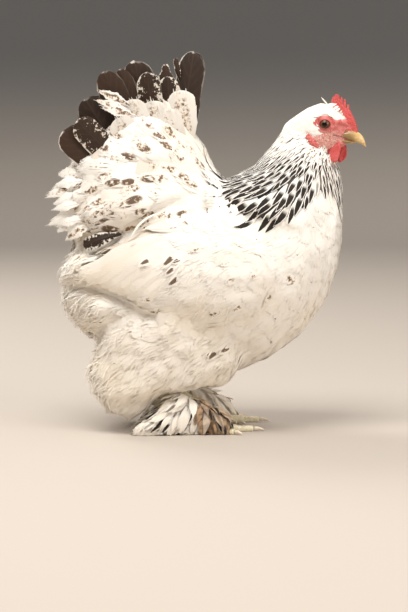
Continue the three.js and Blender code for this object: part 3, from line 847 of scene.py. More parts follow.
def combFoot():
    rows = headStyle["rows"]
    vanes = []
    for side in sides.values():
        out = unit(turnedIn([0, side, 0.3]) - turnedIn([0, 0, 0]))
        bow = out * 0.6 * mm * np.sin(math.pi * rows)[:, None]
        for x0, z0, x1, z1, wide in combTufts + ([strayTuft] if side < 0 else []):
            root = headSurface.nearest(turnedIn(np.array([[x0, side * 7.0, z0]])))[0][0]
            spine = ruled(root, turnedIn([x1, side * 3.7, z1]), rows) + bow
            half = np.maximum(wide * 0.5 * mm * pointedVane(rows), 0.15 * mm)
            vanes.append((spine, np.tile(out, (len(rows), 1)), half))
    parts = [np.array(part) for part in zip(*vanes)]
    patches = unwrapped(parts[0][:, 0], *headStyle["wrap"]), headStyle["patch"]
    return feathers("combFoot", parts, headStyle, plainMarks(rng.random(len(vanes))), patches)


def lieOfBoot(points):  # fanned out from the hock, and a little back and away from the leg
    table = toTable(points)
    way = unit((table - hock["place"]) * [1, 0, 1])
    way[:, 0] -= hock["back"]
    way[:, 1] += hock["away"] * np.sign(table[:, 1])
    return unit(way)


def growBoots():
    points, ups = bootSurface.scatter(scattered["boot"])
    gaps = np.full(len(points), footStyle["gap"] * mm)
    kept = spacedOut(points, gaps, lieOfBoot(points), footStyle["stretch"])
    roots = points[kept], ups[kept]
    sizes = rng.uniform(0.8, 1.15, len(kept))
    inner = (roots[0][:, 1] > 0) & (roots[0][:, 0] > -10 * mm)
    sizes = np.where(inner, 0.6 * sizes, sizes)
    proud = rng.random(len(kept)) < 0.7
    return featherPiece("foot", footStyle, bootSurface, roots, sizes, lieOfBoot, proud)


coat["head"] = joinPieces("headFeathers", [growHead(), combFoot()])
coat["foot"] = growBoots()

# ---- the folded flight feathers, a smooth wedge that runs back to the wing's tip

flightStyle = dict(across=(-1, -0.6, -0.12, 0, 0.12, 0.6, 1), crown=0.11, shaft=0.25, ragged=0.004)
flightTable = [  # root and tip (x, z), width and lift, the top one first
    (-30, 254, -163, 183, 16, 3.0), (-28, 247, -155, 178, 17, 2.7), (-25, 240, -144, 174.5, 18, 2.4),
    (-22, 233, -132, 171, 19, 2.1), (-19, 226, -120, 168, 19, 1.8), (-16, 219, -108, 164, 19, 1.5),
    (-13, 211, -96, 158, 19, 1.2), (-8, 203, -83, 151, 18, 0.9),
]
shoulderRim = np.array(  # the pale rounded edge where the wing slips out from under the saddle
    [(-44, 264.5), (-57, 261), (-68, 256), (-77, 248.5), (-83.5, 239), (-87, 232)])


def roundedRows(even, tip):
    roundEnd = 0.88 + 0.12 * np.sin(np.linspace(0, math.pi / 2, tip))
    return np.concatenate([np.linspace(0, 0.86, even), roundEnd])


def patchGrid(count, x, z, apart):
    index = np.arange(count)
    return np.stack([x + apart * (index % 4), z + 0.3 * (index // 4)], 1)


def flightVanes(label, side):
    rows = roundedRows(12, 6)
    vanes = []
    for rootX, rootZ, tipX, tipZ, wide, lift in flightTable:
        line = ruled(np.array([rootX, side * 112, rootZ]), np.array([tipX, side * 96, tipZ]), rows)
        line[:, 2] += 8 * np.sin(math.pi * rows)
        spots, normals = bodySurface.nearest(toMetres(line))
        normals = unit(normals + np.array([0, side * 1.5, 0]))
        height = (lift - 6 * (1 - rows) ** 2) * mm
        half = wide * mm * 0.5 * (0.6 + 0.4 * smoothStep(rows, 0, 0.5)) * roundTip(rows, 0.82, 0.18)
        vanes.append((spots + normals * height[:, None], normals, np.maximum(half, 0.5 * mm)))
    along = np.linspace(0, 1, len(shoulderRim))
    x, z = [np.interp(rows, along, column) for column in shoulderRim.T]
    line = toMetres(np.stack([x, np.full(len(rows), side * 100.0), z], 1))
    spots, normals = bodySurface.nearest(line)
    line[:, 1] = np.polyval(np.polyfit(rows, spots[:, 1], 2), rows) + side * 2.4 * mm
    up = unit(normals.mean(0) + np.array([-0.3, 0, 0.3]))
    half = 1.7 * mm * (0.1 + 0.9 * np.sin(math.pi * np.clip(rows, 0.02, 0.98)))
    vanes.append((line, np.tile(up, (len(rows), 1)), half))
    parts = [np.array(part) for part in zip(*vanes)]
    marks = plainMarks(rng.uniform(0.9, 2.9, len(vanes)))
    patches = patchGrid(len(vanes), 0.15, 0.2, 0.22), 0.2
    return feathers("flight_" + label, parts, dict(flightStyle, rows=rows), marks, patches)


for label, side in sides.items():
    coat["flight_" + label] = flightVanes(label, side)

# ---- tail: main feathers and the coverts in front of them

tailStyle = dict(
    across=(-1, -0.82, -0.55, -0.3, -0.09, 0, 0.09, 0.3, 0.55, 0.82, 1), rows=roundedRows(18, 9),
    crown=0.1, shaft=0.5, ragged=0.004,
)
whiteFringe = dict(soft, count=12, start=0.4, width=0.16, reach=1.04, lift=0.3, uneven=0.04)
tailTables = {  # root and tip (x, z), how far each stands out, width, pale edge, mottling, tip
    "tailMain": [
        (-34, 296, -13, 449, 7, 8, 30, 0.9, 0.0, "round"),
        (-42, 296, -47, 434, 7, 16, 14, 0.8, 0.3, "torn"),
        (-29, 412, -35, 442, 9, 12, 6, 0.8, 0.3, "torn"),
        (-52, 296, -83, 438, 7, 24, 33, 0.8, 0.0, "round"),
        (-58, 294, -100, 429, 7, 28, 22, 0.5, 0.0, "round"),
        (-62, 292, -119, 426, 7, 33, 30, 0.6, 0.0, "round"),
        (-74, 288, -141, 394, 7, 42, 34, 0.5, 0.0, "round"),
        (-88, 282, -167, 356, 7, 50, 33, 0.9, 0.0, "round"),
    ],
    "tailCoverts": [
        (-34, 300, -44, 420, 7, 24, 25, 1.0, 0.35, "round"),
        (-52, 300, -68, 425, 7, 34, 26, 1.0, 0.4, "round"),
        (-84, 296, -150, 369, 7, 58, 28, 1.0, 0.3, "round"),
        (-98, 237, -143, 222, 68, 62, 15, 0.9, 0.45, "round"),
    ],
    "tailWhite": [
        (-20, 325, -30, 404, 7, 27, 31, 0, 0.6, "round"),
        (-46, 325, -64, 391, 7, 37, 30, 0, 0.7, "round"),
        (-60, 322, -89, 393, 7, 42, 28, 0, 0.6, "round"),
        (-86, 385, -124, 403, 40, 45, 11, 0, 0.8, "pointed"),
        (-88, 379, -127, 392, 42, 48, 10, 0, 0.7, "pointed"),
        (-82, 374, -120, 384, 43, 49, 12, 0, 0.8, "pointed"),
        (-30, 320, -47, 382, 7, 36, 30, 0, 0.4, "round"),
        (-70, 320, -104, 371, 7, 50, 27, 0, 0.6, "round"),
    ],
}
skirtTufts = [  # loose pointed ends at the back of the saddle: root and tip, stand-out, width, mottling
    (-138, 290, -187, 280, 34, 13, 0.6), (-140, 284, -178, 270, 40, 12, 0.2),
    (-136, 266, -184, 246, 38, 13, 0.1), (-134, 258, -174, 238, 46, 14, 0.3),
    (-132, 248, -164, 229, 50, 13, 0.7), (-144, 306, -173, 305, 34, 14, 0.4),
    (-144, 298, -174, 293, 40, 12, 0.1), (-140, 276, -172, 260, 20, 13, 0.3),
    (-142, 296, -180, 288, 14, 13, 0.3), (-140, 262, -176, 242, 12, 13, 0.3),
    (-144, 272, -178, 264, 44, 10, 0.1), (-146, 252, -171, 247, 50, 10, 0.2),
]
roughTips = {  # where the taper ends, its length, its least share of the width and its power
    "torn": (1.04, 0.12, 0.35, 1), "pointed": (1.03, 0.42, 0.08, 0.8),
}
tailTables["skirt"] = [
    (*line, out * 1.12, out, wide, 0, mottle, "pointed") for *line, out, wide, mottle in skirtTufts
]


def tailVanes(kind, label, side):
    style = dict(tailStyle, fringe=whiteFringe) if kind in ("tailWhite", "skirt") else tailStyle
    rows = style["rows"]
    vanes = []
    for rootX, rootZ, tipX, tipZ, rootOut, out, wide, *look, shape in tailTables[kind]:
        root, tip = toMetres([rootX, side * rootOut, rootZ]), toMetres([tipX, side * out, tipZ])
        outward = across(np.array([-0.15, side, 0.25]), unit(tip - root))
        bow = min(6 * mm, 0.1 * np.linalg.norm(tip - root)) * np.sin(math.pi * rows)[:, None]
        narrowed = roundTip(rows, 0.85, 0.15)
        if shape in roughTips:
            end, taper, least, power = roughTips[shape]
            narrowed = np.clip((end - rows) / taper, least, 1) ** power
            narrowed = narrowed * (1 + rng.normal(0, 0.12, len(rows)))
        half = wide * mm * 0.56 * (0.3 + 0.7 * smoothStep(rows, 0, 0.6)) * narrowed
        half = np.maximum(half * (1 + rng.normal(0, 0.018, len(rows))), 0.8 * mm)
        spine = ruled(root, tip, rows) + outward * bow
        vanes.append((spine, np.tile(outward, (len(rows), 1)), half, look))
    *parts, looks = [np.array(part, float) for part in zip(*vanes)]
    marks = plainMarks(rng.random(len(vanes)), mark=looks[:, 1], edge=looks[:, 0])
    patches = patchGrid(len(vanes), 0.12, 0.15, 0.25), 0.22
    return feathers(kind + "_" + label, parts, style, marks, patches)


tail = {}
for label, side in sides.items():
    for kind in tailTables:
        group = tail if kind in ("tailMain", "tailCoverts") else coat
        group[kind + "_" + label] = tailVanes(kind, label, side)
print("tail")

# ---- the skin: head, body and legs made one

skinForm = {
    "voxels": {"body": 4.3, "head": 0.86, "leg": 1.1, "boot": 2.4},
    "depths": {"neck": 4.5, "trunk": 5.5, "saddle": 7.5, "wing": 5.5, "thigh": 8.5, "head": 3.0},
    "bootDepth": 5.0, "headDepth": 1.3,
}
eyeForm = {
    "place": (147, 14.7, 363.6), "socket": (147, 14.7, 366.5), "socketReach": 9.8, "radius": 8.4,
    "pupil": 3.1, "lidWide": 6.8, "lidHigh": 5.7, "lidThick": 0.7, "lidEnd": 2.4, "underBall": 1.2,
    "faceReach": 16, "levelReach": 11, "levelRing": (10, 15),
}
faceForm = {  # heights of the bare skin's relief, and where the folds of the cheek fan out from
    "mouthCorner": (167, 0, 352), "folds": 0.42, "grain": 0.30, "drape": 0.7, "lobeGrain": 0.8,
    "lobeDepth": 1.1,
}
legForm = {"scute": 4.3, "scuteLift": 0.55, "pad": 15, "padLift": 0.4, "padsAbove": 1.5}
combForm = {
    "halfBase": 3.3, "halfTip": 1.2, "low": 366, "high": 398, "voxel": 0.42, "grain": 0.55, "wave": 0.8,
}
combOutline = np.array([
    (176, 349), (182.6, 351), (183.2, 355.5), (182.2, 360.5), (180.2, 367.3), (177.1, 373.8),
    (175.2, 377.6), (174.7, 380.0), (173.6, 380.8), (172.8, 379.8), (172.6, 382.0), (172.6, 385.6),
    (171.8, 387.6), (170.7, 386.8), (170.0, 382.6), (169.3, 381.6), (169.1, 385.0), (169.0, 389.6),
    (168.4, 392.8), (167.2, 393.4), (166.6, 390.4), (166.1, 385.2), (165.5, 384.8), (165.4, 388.0),
    (165.2, 393.0), (164.5, 395.9), (163.0, 396.1), (162.5, 393.0), (162.3, 387.9), (161.7, 387.4),
    (161.7, 392.4), (161.1, 396.2), (159.8, 398.4), (157.4, 399.4), (154.4, 397.6), (152.4, 394.5),
    (151.4, 391.0), (151.3, 387.5), (152.2, 383), (155, 377), (157, 370), (163, 358),
])
toeWays = {"hind": 168, "inner": 34, "middle": 4, "outer": -34}
footPlaces = {"right": (-4, -46), "left": (4, 47)}
toeNodes = ["toe_%s_%s" % (toe, label) for toe in toeWays for label in sides]
clawNodes = ["claw_%s_%s" % (toe, label) for toe in toeWays for label in sides]


def eyeFrame(side):  # middle, then ahead, up and out, all in the head's own frame
    out = unit(np.array([0.10, side, 0.04]))
    ahead = across(np.array([1.0, 0, -0.08]), out)
    return np.array(eyeForm["place"]) * [1, side, 1], ahead, unit(np.cross(out, ahead) * side), out


def fromEye(inHead, side):  # how far ahead, up and out of the eye's middle
    middle, *ways = eyeFrame(side)
    return [(inHead - middle) @ way for way in ways]


def lidRing(ahead, up):  # 1 on the edge of the lids
    return np.hypot(ahead / eyeForm["lidWide"], up / eyeForm["lidHigh"])


def bodySkin():
    made = surfaceOf("bodySkin", fleshNodes, voxel=skinForm["voxels"]["body"], rounds=8, smooth=0.6)
    points = pointsOf(made)
    owners = fleshKinds[ownerOf(points)]
    depths = np.array([skinForm["depths"][kind] for kind in owners])
    table = toTable(points)
    table[:, 0] = rearDrawnIn(table, owners)
    movePoints(made, toMetres(table) - normalsOf(made) * depths[:, None] * mm)
    applyModifier(made, "SMOOTH", factor=0.5, iterations=6)
    return made


def headSkin():
    nodes = ["head", "wattle_right", "wattle_left", "earlobe_right", "earlobe_left"]
    made = surfaceOf("headSkin", nodes, voxel=skinForm["voxels"]["head"], rounds=4)
    inHead = unturned(pointsOf(made))
    # the face narrows to the beak's base
    front = smoothStep(inHead[:, 0], 155, 171) * smoothStep(inHead[:, 2], 338, 345)
    front = front * fadeOut(inHead[:, 2], 361, 367)
    inHead[:, 1] *= 1 - 0.5 * front
    inHead[:, 2] += (353 - inHead[:, 2]) * 0.25 * smoothStep(inHead[:, 0], 166, 178) * (front > 0)
    movePoints(made, turnedIn(inHead))
    points, normals = pointsOf(made), normalsOf(made)
    owner = nodeFinder(nodes)(points)
    bare = np.where(owner == 0, bareness(inHead), 1)
    # folds that fan out from the corner of the mouth
    corner = inHead - faceForm["mouthCorner"]
    fan = np.arctan2(corner[:, 2], -corner[:, 0])
    away = np.hypot(corner[:, 0], corner[:, 2])
    folds = np.sin(fan * 17 + 1.3 * np.sin(away * 0.45)) * np.sin(away * 0.8 + fan * 5)
    cheek = smoothStep(away, 3, 9) * (1 - smoothStep(inHead[:, 2], 352, 358)) * bare * (owner == 0)
    rough = wobbles(inHead, 0.55)
    lift = faceForm["folds"] * folds * cheek + faceForm["grain"] * rough * bare
    lift = lift - skinForm["headDepth"] * (1 - bare)
    # each wattle hangs in a few soft folds, and the ear lobes are rough and small
    drape = np.sin(inHead[:, 0] * 0.75 + 1.5 * np.sin(inHead[:, 2] * 0.2))
    lift = lift + faceForm["drape"] * np.isin(owner, [1, 2]) * drape
    lift = lift + (owner > 2) * (faceForm["lobeGrain"] * rough - faceForm["lobeDepth"])
    movePoints(made, points + normals * lift[:, None] * mm)
    shapeSockets(made)
    return joinPieces("headSkin", [made] + [eyelid(side) for side in sides.values()])


def shapeSockets(made):
    inHead = unturned(pointsOf(made))
    for side in sides.values():
        a, b, c = fromEye(inHead, side)
        apart = np.hypot(a, b)
        near = (c > 0) & (apart < eyeForm["faceReach"])
        # level any dent round the eye with the face further out
        inner, outer = eyeForm["levelRing"]
        rimmed = near & (apart > inner) & (apart < outer)
        terms = np.stack([np.ones(len(a)), a, b, a * a, a * b, b * b], 1)
        level = terms @ np.linalg.lstsq(terms[rimmed], c[rimmed], rcond=None)[0]
        socket = np.array(eyeForm["socket"]) * [1, side, 1]
        cup = np.linalg.norm(inHead - socket, axis=1) < eyeForm["socketReach"]
        dented = near & (apart < eyeForm["levelReach"])
        face = np.where(cup, level, np.where(dented, np.maximum(c, level), c))
        # inside the lids the skin stays under the eyeball, and outside it rises from their edge
        ring = lidRing(a, b)
        least = np.maximum(ring, 0.1)
        ball = np.sqrt(np.maximum(eyeForm["radius"] ** 2 - a ** 2 - b ** 2, 0))
        rim = np.sqrt(eyeForm["radius"] ** 2 - (a / least) ** 2 - (b / least) ** 2)
        folds = smoothStep(ring, 1.1, 1.4) * (1 - smoothStep(ring, 1.8, eyeForm["lidEnd"]))
        wrinkles = 0.28 * np.sin((ring - 1) * 12) * folds
        outside = rim + (face - rim) * smoothStep(ring, 0.95, 1.9) + wrinkles
        inside = np.minimum(face, ball - eyeForm["underBall"])
        shaped = np.where(ring < 1, inside, np.where(ring < eyeForm["lidEnd"], outside, face))
        inHead = inHead + np.where(near | cup, shaped - c, 0)[:, None] * eyeFrame(side)[3]
    movePoints(made, turnedIn(inHead))


def eyelid(side):
    middle, ahead, up, out = eyeFrame(side)
    around, section = 64, 12
    turn = np.linspace(0, 2 * math.pi, around, endpoint=False)[:, None]
    bend = np.linspace(0, 2 * math.pi, section, endpoint=False)[None]
    a, b = eyeForm["lidWide"] * np.cos(turn), eyeForm["lidHigh"] * np.sin(turn)
    c = np.sqrt(eyeForm["radius"] ** 2 - a ** 2 - b ** 2) + 0.15
    thick = eyeForm["lidThick"] * (1 + 0.25 * np.sin(turn)) * np.ones_like(bend)
    widen = 1 + thick * np.cos(bend) / np.hypot(a, b)
    lift = c + thick * 0.8 * np.sin(bend)
    grid = middle + (a * widen)[..., None] * ahead + (b * widen)[..., None] * up + lift[..., None] * out
    index = np.arange(around * section).reshape(around, section)
    nextRing, nextBend = np.roll(index, -1, 0), np.roll(index, -1, 1)
    faces = np.stack([index, nextRing, np.roll(nextRing, -1, 1), nextBend], -1).reshape(-1, 4)
    made = meshFromArrays("eyelid", turnedIn(grid.reshape(-1, 3)), [faces])
    facesOut(made)
    return made


def combSkin():
    # a flat blade with the comb's outline, rounded, then thinned towards its points
    count = len(combOutline)
    halves = (-combForm["halfBase"], combForm["halfBase"])
    points = np.concatenate([np.insert(combOutline, 1, y, axis=1) for y in halves])
    front, back = np.arange(count)[None], np.arange(count, 2 * count)[None, ::-1]
    around = np.arange(count)
    ahead = np.roll(around, -1)
    walls = np.stack([around, around + count, ahead + count, ahead], -1)
    made = meshFromArrays("combSkin", points * mm, [front, back, walls])
    facesOut(made, triangles=True)
    remeshed(made, combForm["voxel"], 3)
    inHead = pointsOf(made) / mm
    share = smoothStep(inHead[:, 2], combForm["low"], combForm["high"])
    inHead[:, 1] *= 1 + (combForm["halfTip"] / combForm["halfBase"] - 1) * share
    grains = wobbles(inHead, 0.9)
    inHead[:, 1] += np.sign(inHead[:, 1]) * combForm["grain"] * grains
    inHead[:, 1] += combForm["wave"] * np.sin((inHead[:, 0] - 150) * 0.35) * share
    movePoints(made, turnedIn(inHead))
    return made


def legSkin():
    nodes, starts, ways = [], [], []
    for label, side in sides.items():
        for toe, degrees in toeWays.items():
            nodes.append("toe_%s_%s" % (toe, label))
            ways.append((math.cos(math.radians(degrees)), side * math.sin(math.radians(degrees))))
        nodes.append("shank_" + label)
        ways.append((-0.85, 0.0))
        starts += [footPlaces[label]] * (len(toeWays) + 1)
    made = surfaceOf("legSkin", nodes, voxel=skinForm["voxels"]["leg"], rounds=4)
    points, normals = pointsOf(made), normalsOf(made)
    owner = nodeFinder(nodes)(points)
    table = toTable(points)
    along = ((table[:, :2] - np.array(starts)[owner]) * np.array(ways)[owner]).sum(1)
    scutes = np.abs(np.sin(math.pi * along / legForm["scute"])) ** 0.6
    top = smoothStep(normals[:, 2], 0.05, 0.6)
    under = fadeOut(normals[:, 2], -0.8, -0.2) * (table[:, 2] > legForm["padsAbove"])
    pads = np.sin(2 * math.pi * along / legForm["pad"]) * under
    lift = (scutes - 0.6) * legForm["scuteLift"] * top + legForm["padLift"] * pads
    moved = points + normals * lift[:, None] * mm
    moved[:, 2] = np.maximum(moved[:, 2], 0)
    movePoints(made, moved)
    return made


def bootSkin():
    made = surfaceOf("bootSkin", ["boot_right", "boot_left"], voxel=skinForm["voxels"]["boot"], rounds=6)
    points = pointsOf(made) - normalsOf(made) * skinForm["bootDepth"] * mm
    points[:, 2] = np.maximum(points[:, 2], 0.4 * mm)
    movePoints(made, points)
    applyModifier(made, "SMOOTH", factor=0.5, iterations=3)
    return made


def unitedSkin():
    skin = bodySkin()
    for other in (headSkin(), combSkin(), legSkin(), bootSkin()):
        applyModifier(skin, "BOOLEAN", object=other, operation="UNION", solver="MANIFOLD")
        bpy.data.objects.remove(other)
    return joinPieces("skin", [skin])


def skinMarks(skin):
    points = pointsOf(skin)
    table = toTable(points)
    inHead = unturned(points)
    count = len(points)
    headNodes = ["head", "neck", "comb", "wattle_right", "wattle_left", "earlobe_right", "earlobe_left"]
    upper = (table[:, 2] > 310) & (table[:, 0] > 95)
    owner = np.zeros(count, int)
    owner[upper] = nodeFinder(headNodes)(points[upper])
    bare = np.where(owner >= 2, 1, np.where(upper, bareness(inHead), 0))
    addAttribute(skin, "bare", bare)
    addAttribute(skin, "red", np.array([0, 0, 0.75, 0.55, 1.0, 0.6, 0.6])[owner])
    onCheek = fadeOut(inHead[:, 2], 350, 360) * fadeOut(inHead[:, 0], 158, 172)
    addAttribute(skin, "pale", np.maximum(0.95 * onCheek * (owner < 2) * bare, (owner >= 5) * 0.45))
    leg = (table[:, 2] < 62) & (table[:, 2] < 30 + 0.55 * np.maximum(-table[:, 0] - 10, 0))
    coated = ["thigh_right", "thigh_left", "trunk", "boot_right", "boot_left"]
    owner = np.zeros(count, int)
    owner[leg] = nodeFinder(coated + ["shank_right", "shank_left"] + toeNodes)(points[leg])
    downy = smoothStep(table[:, 2], 40, 46) * (table[:, 0] < 2)
    addAttribute(skin, "leg", (owner >= len(coated)) * (1 - downy))
    addAttribute(skin, "dark", capeDark(table) * (1 - bare))
    # painted shadow: the skin along the mouth's gape and inside the lids round the eyeball is darkened,
    # stored as rim
    gape = lineDistance(inHead[:, 0], inHead[:, 2], [(157, 351.0), (167, 348.6)])
    shadow = 0.9 * (1 - smoothStep(gape, 0.5, 1.1)) * (np.abs(inHead[:, 1]) > 3)
    for side in sides.values():
        a, b, c = fromEye(inHead, side)
        shadow = np.maximum(shadow, (c > 0) & (lidRing(a, b) < 1.02))
    addAttribute(skin, "rim", shadow)


def unwrapSkin(skin):
    # the head has the most room on the map, then the body, then the legs
    mesh = skin.data
    mesh.uv_layers.new(name="OFBake")
    table = toTable(readAll(mesh.polygons, "center", 3))
    head = (table[:, 2] > 322) & (table[:, 0] > 102)
    regions = np.where(head, 0, np.where(table[:, 2] < 32, 2, 1))
    cornerRegion = np.repeat(regions, readAll(mesh.polygons, "loop_total", kind=int))
    rooms = [(0, 0, 0.6, 1), (0.61, 0, 0.39, 0.5), (0.61, 0.51, 0.39, 0.49)]
    selectOnly(skin)
    for index, (left, low, wide, high) in enumerate(rooms):
        mesh.polygons.foreach_set("select", regions == index)
        bpy.ops.object.mode_set(mode="EDIT")
        bpy.ops.mesh.select_mode(type="FACE")
        bpy.ops.uv.smart_project(angle_limit=math.radians(72), island_margin=0.002)
        bpy.ops.object.mode_set(mode="OBJECT")
        layer = mesh.uv_layers["OFBake"]
        spots = readAll(layer.data, "uv", 2)
        mine = cornerRegion == index
        spots[mine] = spots[mine] * [wide, high] + [left, low]
        layer.data.foreach_set("uv", spots.ravel())


skin = unitedSkin()
skinMarks(skin)
unwrapSkin(skin)
shadeSmooth(skin)
print("skin", sum(len(face.vertices) - 2 for face in skin.data.polygons), "triangles")

# ---- eyes, beak and claws

beakForm = {  # rings: top (x, z), bottom (x, z) and half width; then where each half starts and ends
    "upper": [
        (162, 357.0, 160, 346.6, 8.0), (168, 358.4, 166, 345.6, 8.2), (174.0, 357.8, 172.0, 344.4, 7.6),
        (180.5, 356.2, 178.5, 343.0, 6.4), (186.4, 352.6, 184.2, 341.4, 4.8),
        (191.0, 346.6, 188.6, 339.6, 3.0),
    ],
    "upperEnds": ((155, 352), (193.6, 336.8)),
    "lower": [
        (163, 348, 163, 340.4, 6.2), (170, 346.2, 170, 340.6, 5.6), (177, 344.2, 176, 340.6, 4.2),
    ],
    "lowerEnds": ((157, 345), (182, 342)),
    "nostril": (170.5, 6.6, 354.4), "edge": 0.25, "root": (163, 0, 349),
}


def eyeball(label, side):
    middle, ahead, up, out = eyeFrame(side)
    bpy.ops.object.select_all(action="DESELECT")
    bpy.ops.mesh.primitive_uv_sphere_add(segments=40, ring_count=24, radius=eyeForm["radius"])
    ball = bpy.context.view_layer.objects.active
    ball.name = "eye_ball_" + label
    bpy.ops.object.shade_smooth()
    points = pointsOf(ball)
    radial = np.hypot(points[:, 0], points[:, 1]) + np.where(points[:, 2] < 0, 20, 0)
    points[:, 2] -= 0.5 * smoothStep(radial, 0, 6.5)
    addAttribute(ball, "radial", radial)
    inHead = middle + points[:, :1] * ahead * side + points[:, 1:2] * up + points[:, 2:] * out
    movePoints(ball, turnedIn(inHead))
    return ball


def lofted(rings, ends, round, steps):  # a smooth curve through the rings, pointed at both ends
    start, end = [(*place, *place, beakForm["edge"]) for place in ends]
    known = np.array([start, *rings, end], float)
    fine = np.linspace(0, len(known) - 1, steps)
    index = np.clip(fine.astype(int), 0, len(known) - 2)
    t = (fine - index)[:, None]
    before, after = known[np.maximum(index - 1, 0)], known[np.minimum(index + 2, len(known) - 1)]
    first, second = known[index], known[index + 1]
    values = (2 * t ** 3 - 3 * t ** 2 + 1) * first + (t ** 3 - 2 * t ** 2 + t) * (second - before) / 2
    values = values + (3 * t ** 2 - 2 * t ** 3) * second + (t ** 3 - t ** 2) * (after - first) / 2
    turn = np.linspace(0, 2 * math.pi, round, endpoint=False)
    top, bottom = values[:, None, 0:2], values[:, None, 2:4]
    half = np.maximum(values[:, 4:5], beakForm["edge"])
    flat = (top + bottom) / 2 + (top - bottom) / 2 * np.sin(turn)[None, :, None]
    wide = half * np.cos(turn) * (1 - 0.18 * np.maximum(np.sin(turn), 0) ** 2)
    return np.stack([flat[..., 0], wide, flat[..., 1]], -1)


def closedLoft(name, points):
    steps, round = points.shape[:2]
    index = np.arange(steps * round).reshape(steps, round)
    turned = np.roll(index, -1, 1)
    faces = np.stack([index[:-1], turned[:-1], turned[1:], index[1:]], -1).reshape(-1, 4)
    made = meshFromArrays(name, turnedIn(points.reshape(-1, 3)), [faces, index[:1], index[-1:, ::-1]])
    facesOut(made)
    bpy.ops.object.shade_smooth()
    return made


def beakPieces():
    upper = lofted(beakForm["upper"], beakForm["upperEnds"], 36, 56)
    # nostril: a slit on each side near the base, under a low scale
    for side in sides.values():
        x, y, z = np.moveaxis(upper - np.array(beakForm["nostril"]) * [1, side, 1], -1, 0)
        onSide = upper[..., 1] * side > 1
        slit = np.exp(-((x * 0.95 + z * 0.3) / 3.0) ** 2 - ((z * 0.95 - x * 0.3) / 0.9) ** 2) * onSide
        scale = np.exp(-(x / 4.0) ** 2 - ((z - 2.4) / 1.5) ** 2) * onSide
        upper[..., 1] -= side * (2.0 * slit - 0.7 * scale)
    lower = lofted(beakForm["lower"], beakForm["lowerEnds"], 28, 36)
    return closedLoft("beak_top", upper), closedLoft("beak_bottom", lower)


eyeballs = {label: eyeball(label, side) for label, side in sides.items()}
beakTop, beakBottom = beakPieces()
claws = surfaceOf("claws", clawNodes, voxel=0.45, rounds=6)
shadeSmooth(claws)
print("eyes, beak and claws")

# ---- materials


def addNode(tree, kind, inputs=(), output=0, **settings):  # inputs by place in a list, or by name
    made = tree.nodes.new("ShaderNode" + kind)
    for name, value in settings.items():
        setattr(made, name, value)
    for key, value in inputs.items() if isinstance(inputs, dict) else enumerate(inputs):
        if isinstance(value, Value):
            tree.links.new(value.socket, made.inputs[key])
        else:
            made.inputs[key].default_value = value
    return Value(made.outputs[output])


class Value:  # what a socket gives; plain arithmetic on it adds the nodes that work it out
    def __init__(self, socket):
        self.socket = socket
        self.tree = socket.id_data

    def calc(self, operation, *others):
        return addNode(self.tree, "Math", [self, *others], operation=operation)

    def ramp(self, low, high, start=0.0, end=1.0):  # a smooth step from start to end
        limits = [self, low, high, start, end]
        return addNode(self.tree, "MapRange", limits, interpolation_type="SMOOTHSTEP")

    def part(self, index):
        return addNode(self.tree, "SeparateXYZ", [self], index)

    def __add__(self, other):
        return self.calc("ADD", other)

    def __sub__(self, other):
        return self.calc("SUBTRACT", other)

    def __mul__(self, other):
        return self.calc("MULTIPLY", other)

    def __truediv__(self, other):
        return self.calc("DIVIDE", other)


def tint(factor, *colours):
    first, second = [colour if isinstance(colour, Value) else (*colour, 1) for colour in colours]
    return addNode(factor.tree, "Mix", {0: factor, 6: first, 7: second}, 2, data_type="RGBA")


def noise(place, scale, detail=3.0, rough=0.5):
    look = {"Vector": place, "Scale": scale, "Detail": detail, "Roughness": rough}
    return addNode(place.tree, "TexNoise", look)


def attribute(tree, name):
    return addNode(tree, "Attribute", (), "Fac", attribute_name=name)


def objectPlace(tree):
    return addNode(tree, "TexCoord", (), "Object")


def vanePlace(tree):
    return addNode(tree, "UVMap", uv_map="vane")


def newMaterial(name, **constants):
    material = bpy.data.materials.new(name)
    material.use_nodes = True
    shader = material.node_tree.nodes["Principled BSDF"]
    for label, value in constants.items():
        shader.inputs[label.replace("_", " ")].default_value = value
    return material, material.node_tree, shader


def finishLook(shader, colour, height=None, strength=0.15, distance=0.0003):
    tree = shader.id_data
    tree.links.new(colour.socket, shader.inputs["Base Color"])
    if height is not None:
        relief = addNode(tree, "Bump", {"Strength": strength, "Distance": distance, "Height": height})
        tree.links.new(relief.socket, shader.inputs["Normal"])


def vaneGroup():
    # how far out from the shaft and along a point is, the barbs' relief and the shaft's line
    group = bpy.data.node_groups.new("vaneDetail", "ShaderNodeTree")
    group.interface.new_socket("Vane", in_out="INPUT", socket_type="NodeSocketVector")
    group.interface.new_socket("Barbs", in_out="INPUT", socket_type="NodeSocketFloat")
    for name in ("Side", "Along", "Relief", "Shaft", "Streaks"):
        group.interface.new_socket(name, in_out="OUTPUT", socket_type="NodeSocketFloat")
    vane, barbs = [Value(socket) for socket in list(group.nodes.new("NodeGroupInput").outputs)[:2]]
    side = (vane.part(0) * 2.0 - 1.0).calc("ABSOLUTE")
    along = vane.part(1)
    uneven = noise(vane, 9.0, 2.0)
    turns = (along - side * 0.16 + uneven * 0.03) * barbs * 6.2832
    coarse = (turns * 0.19).calc("SINE") * 0.5 + 0.5
    given = {
        "Side": side, "Along": along, "Relief": turns.calc("SINE") * 0.5 + 0.5,
        "Shaft": side.ramp(0.03, 0.1, 1.0, 0.0), "Streaks": coarse * uneven,
    }
    end = group.nodes.new("NodeGroupOutput")
    for name, value in given.items():
        group.links.new(value.socket, end.inputs[name])
    return group


vaneDetail = vaneGroup()


def vaneParts(tree, barbs):
    made = tree.nodes.new("ShaderNodeGroup")
    made.node_tree = vaneDetail
    tree.links.new(vanePlace(tree).socket, made.inputs["Vane"])
    made.inputs["Barbs"].default_value = barbs
    return {socket.name: Value(socket) for socket in made.outputs}


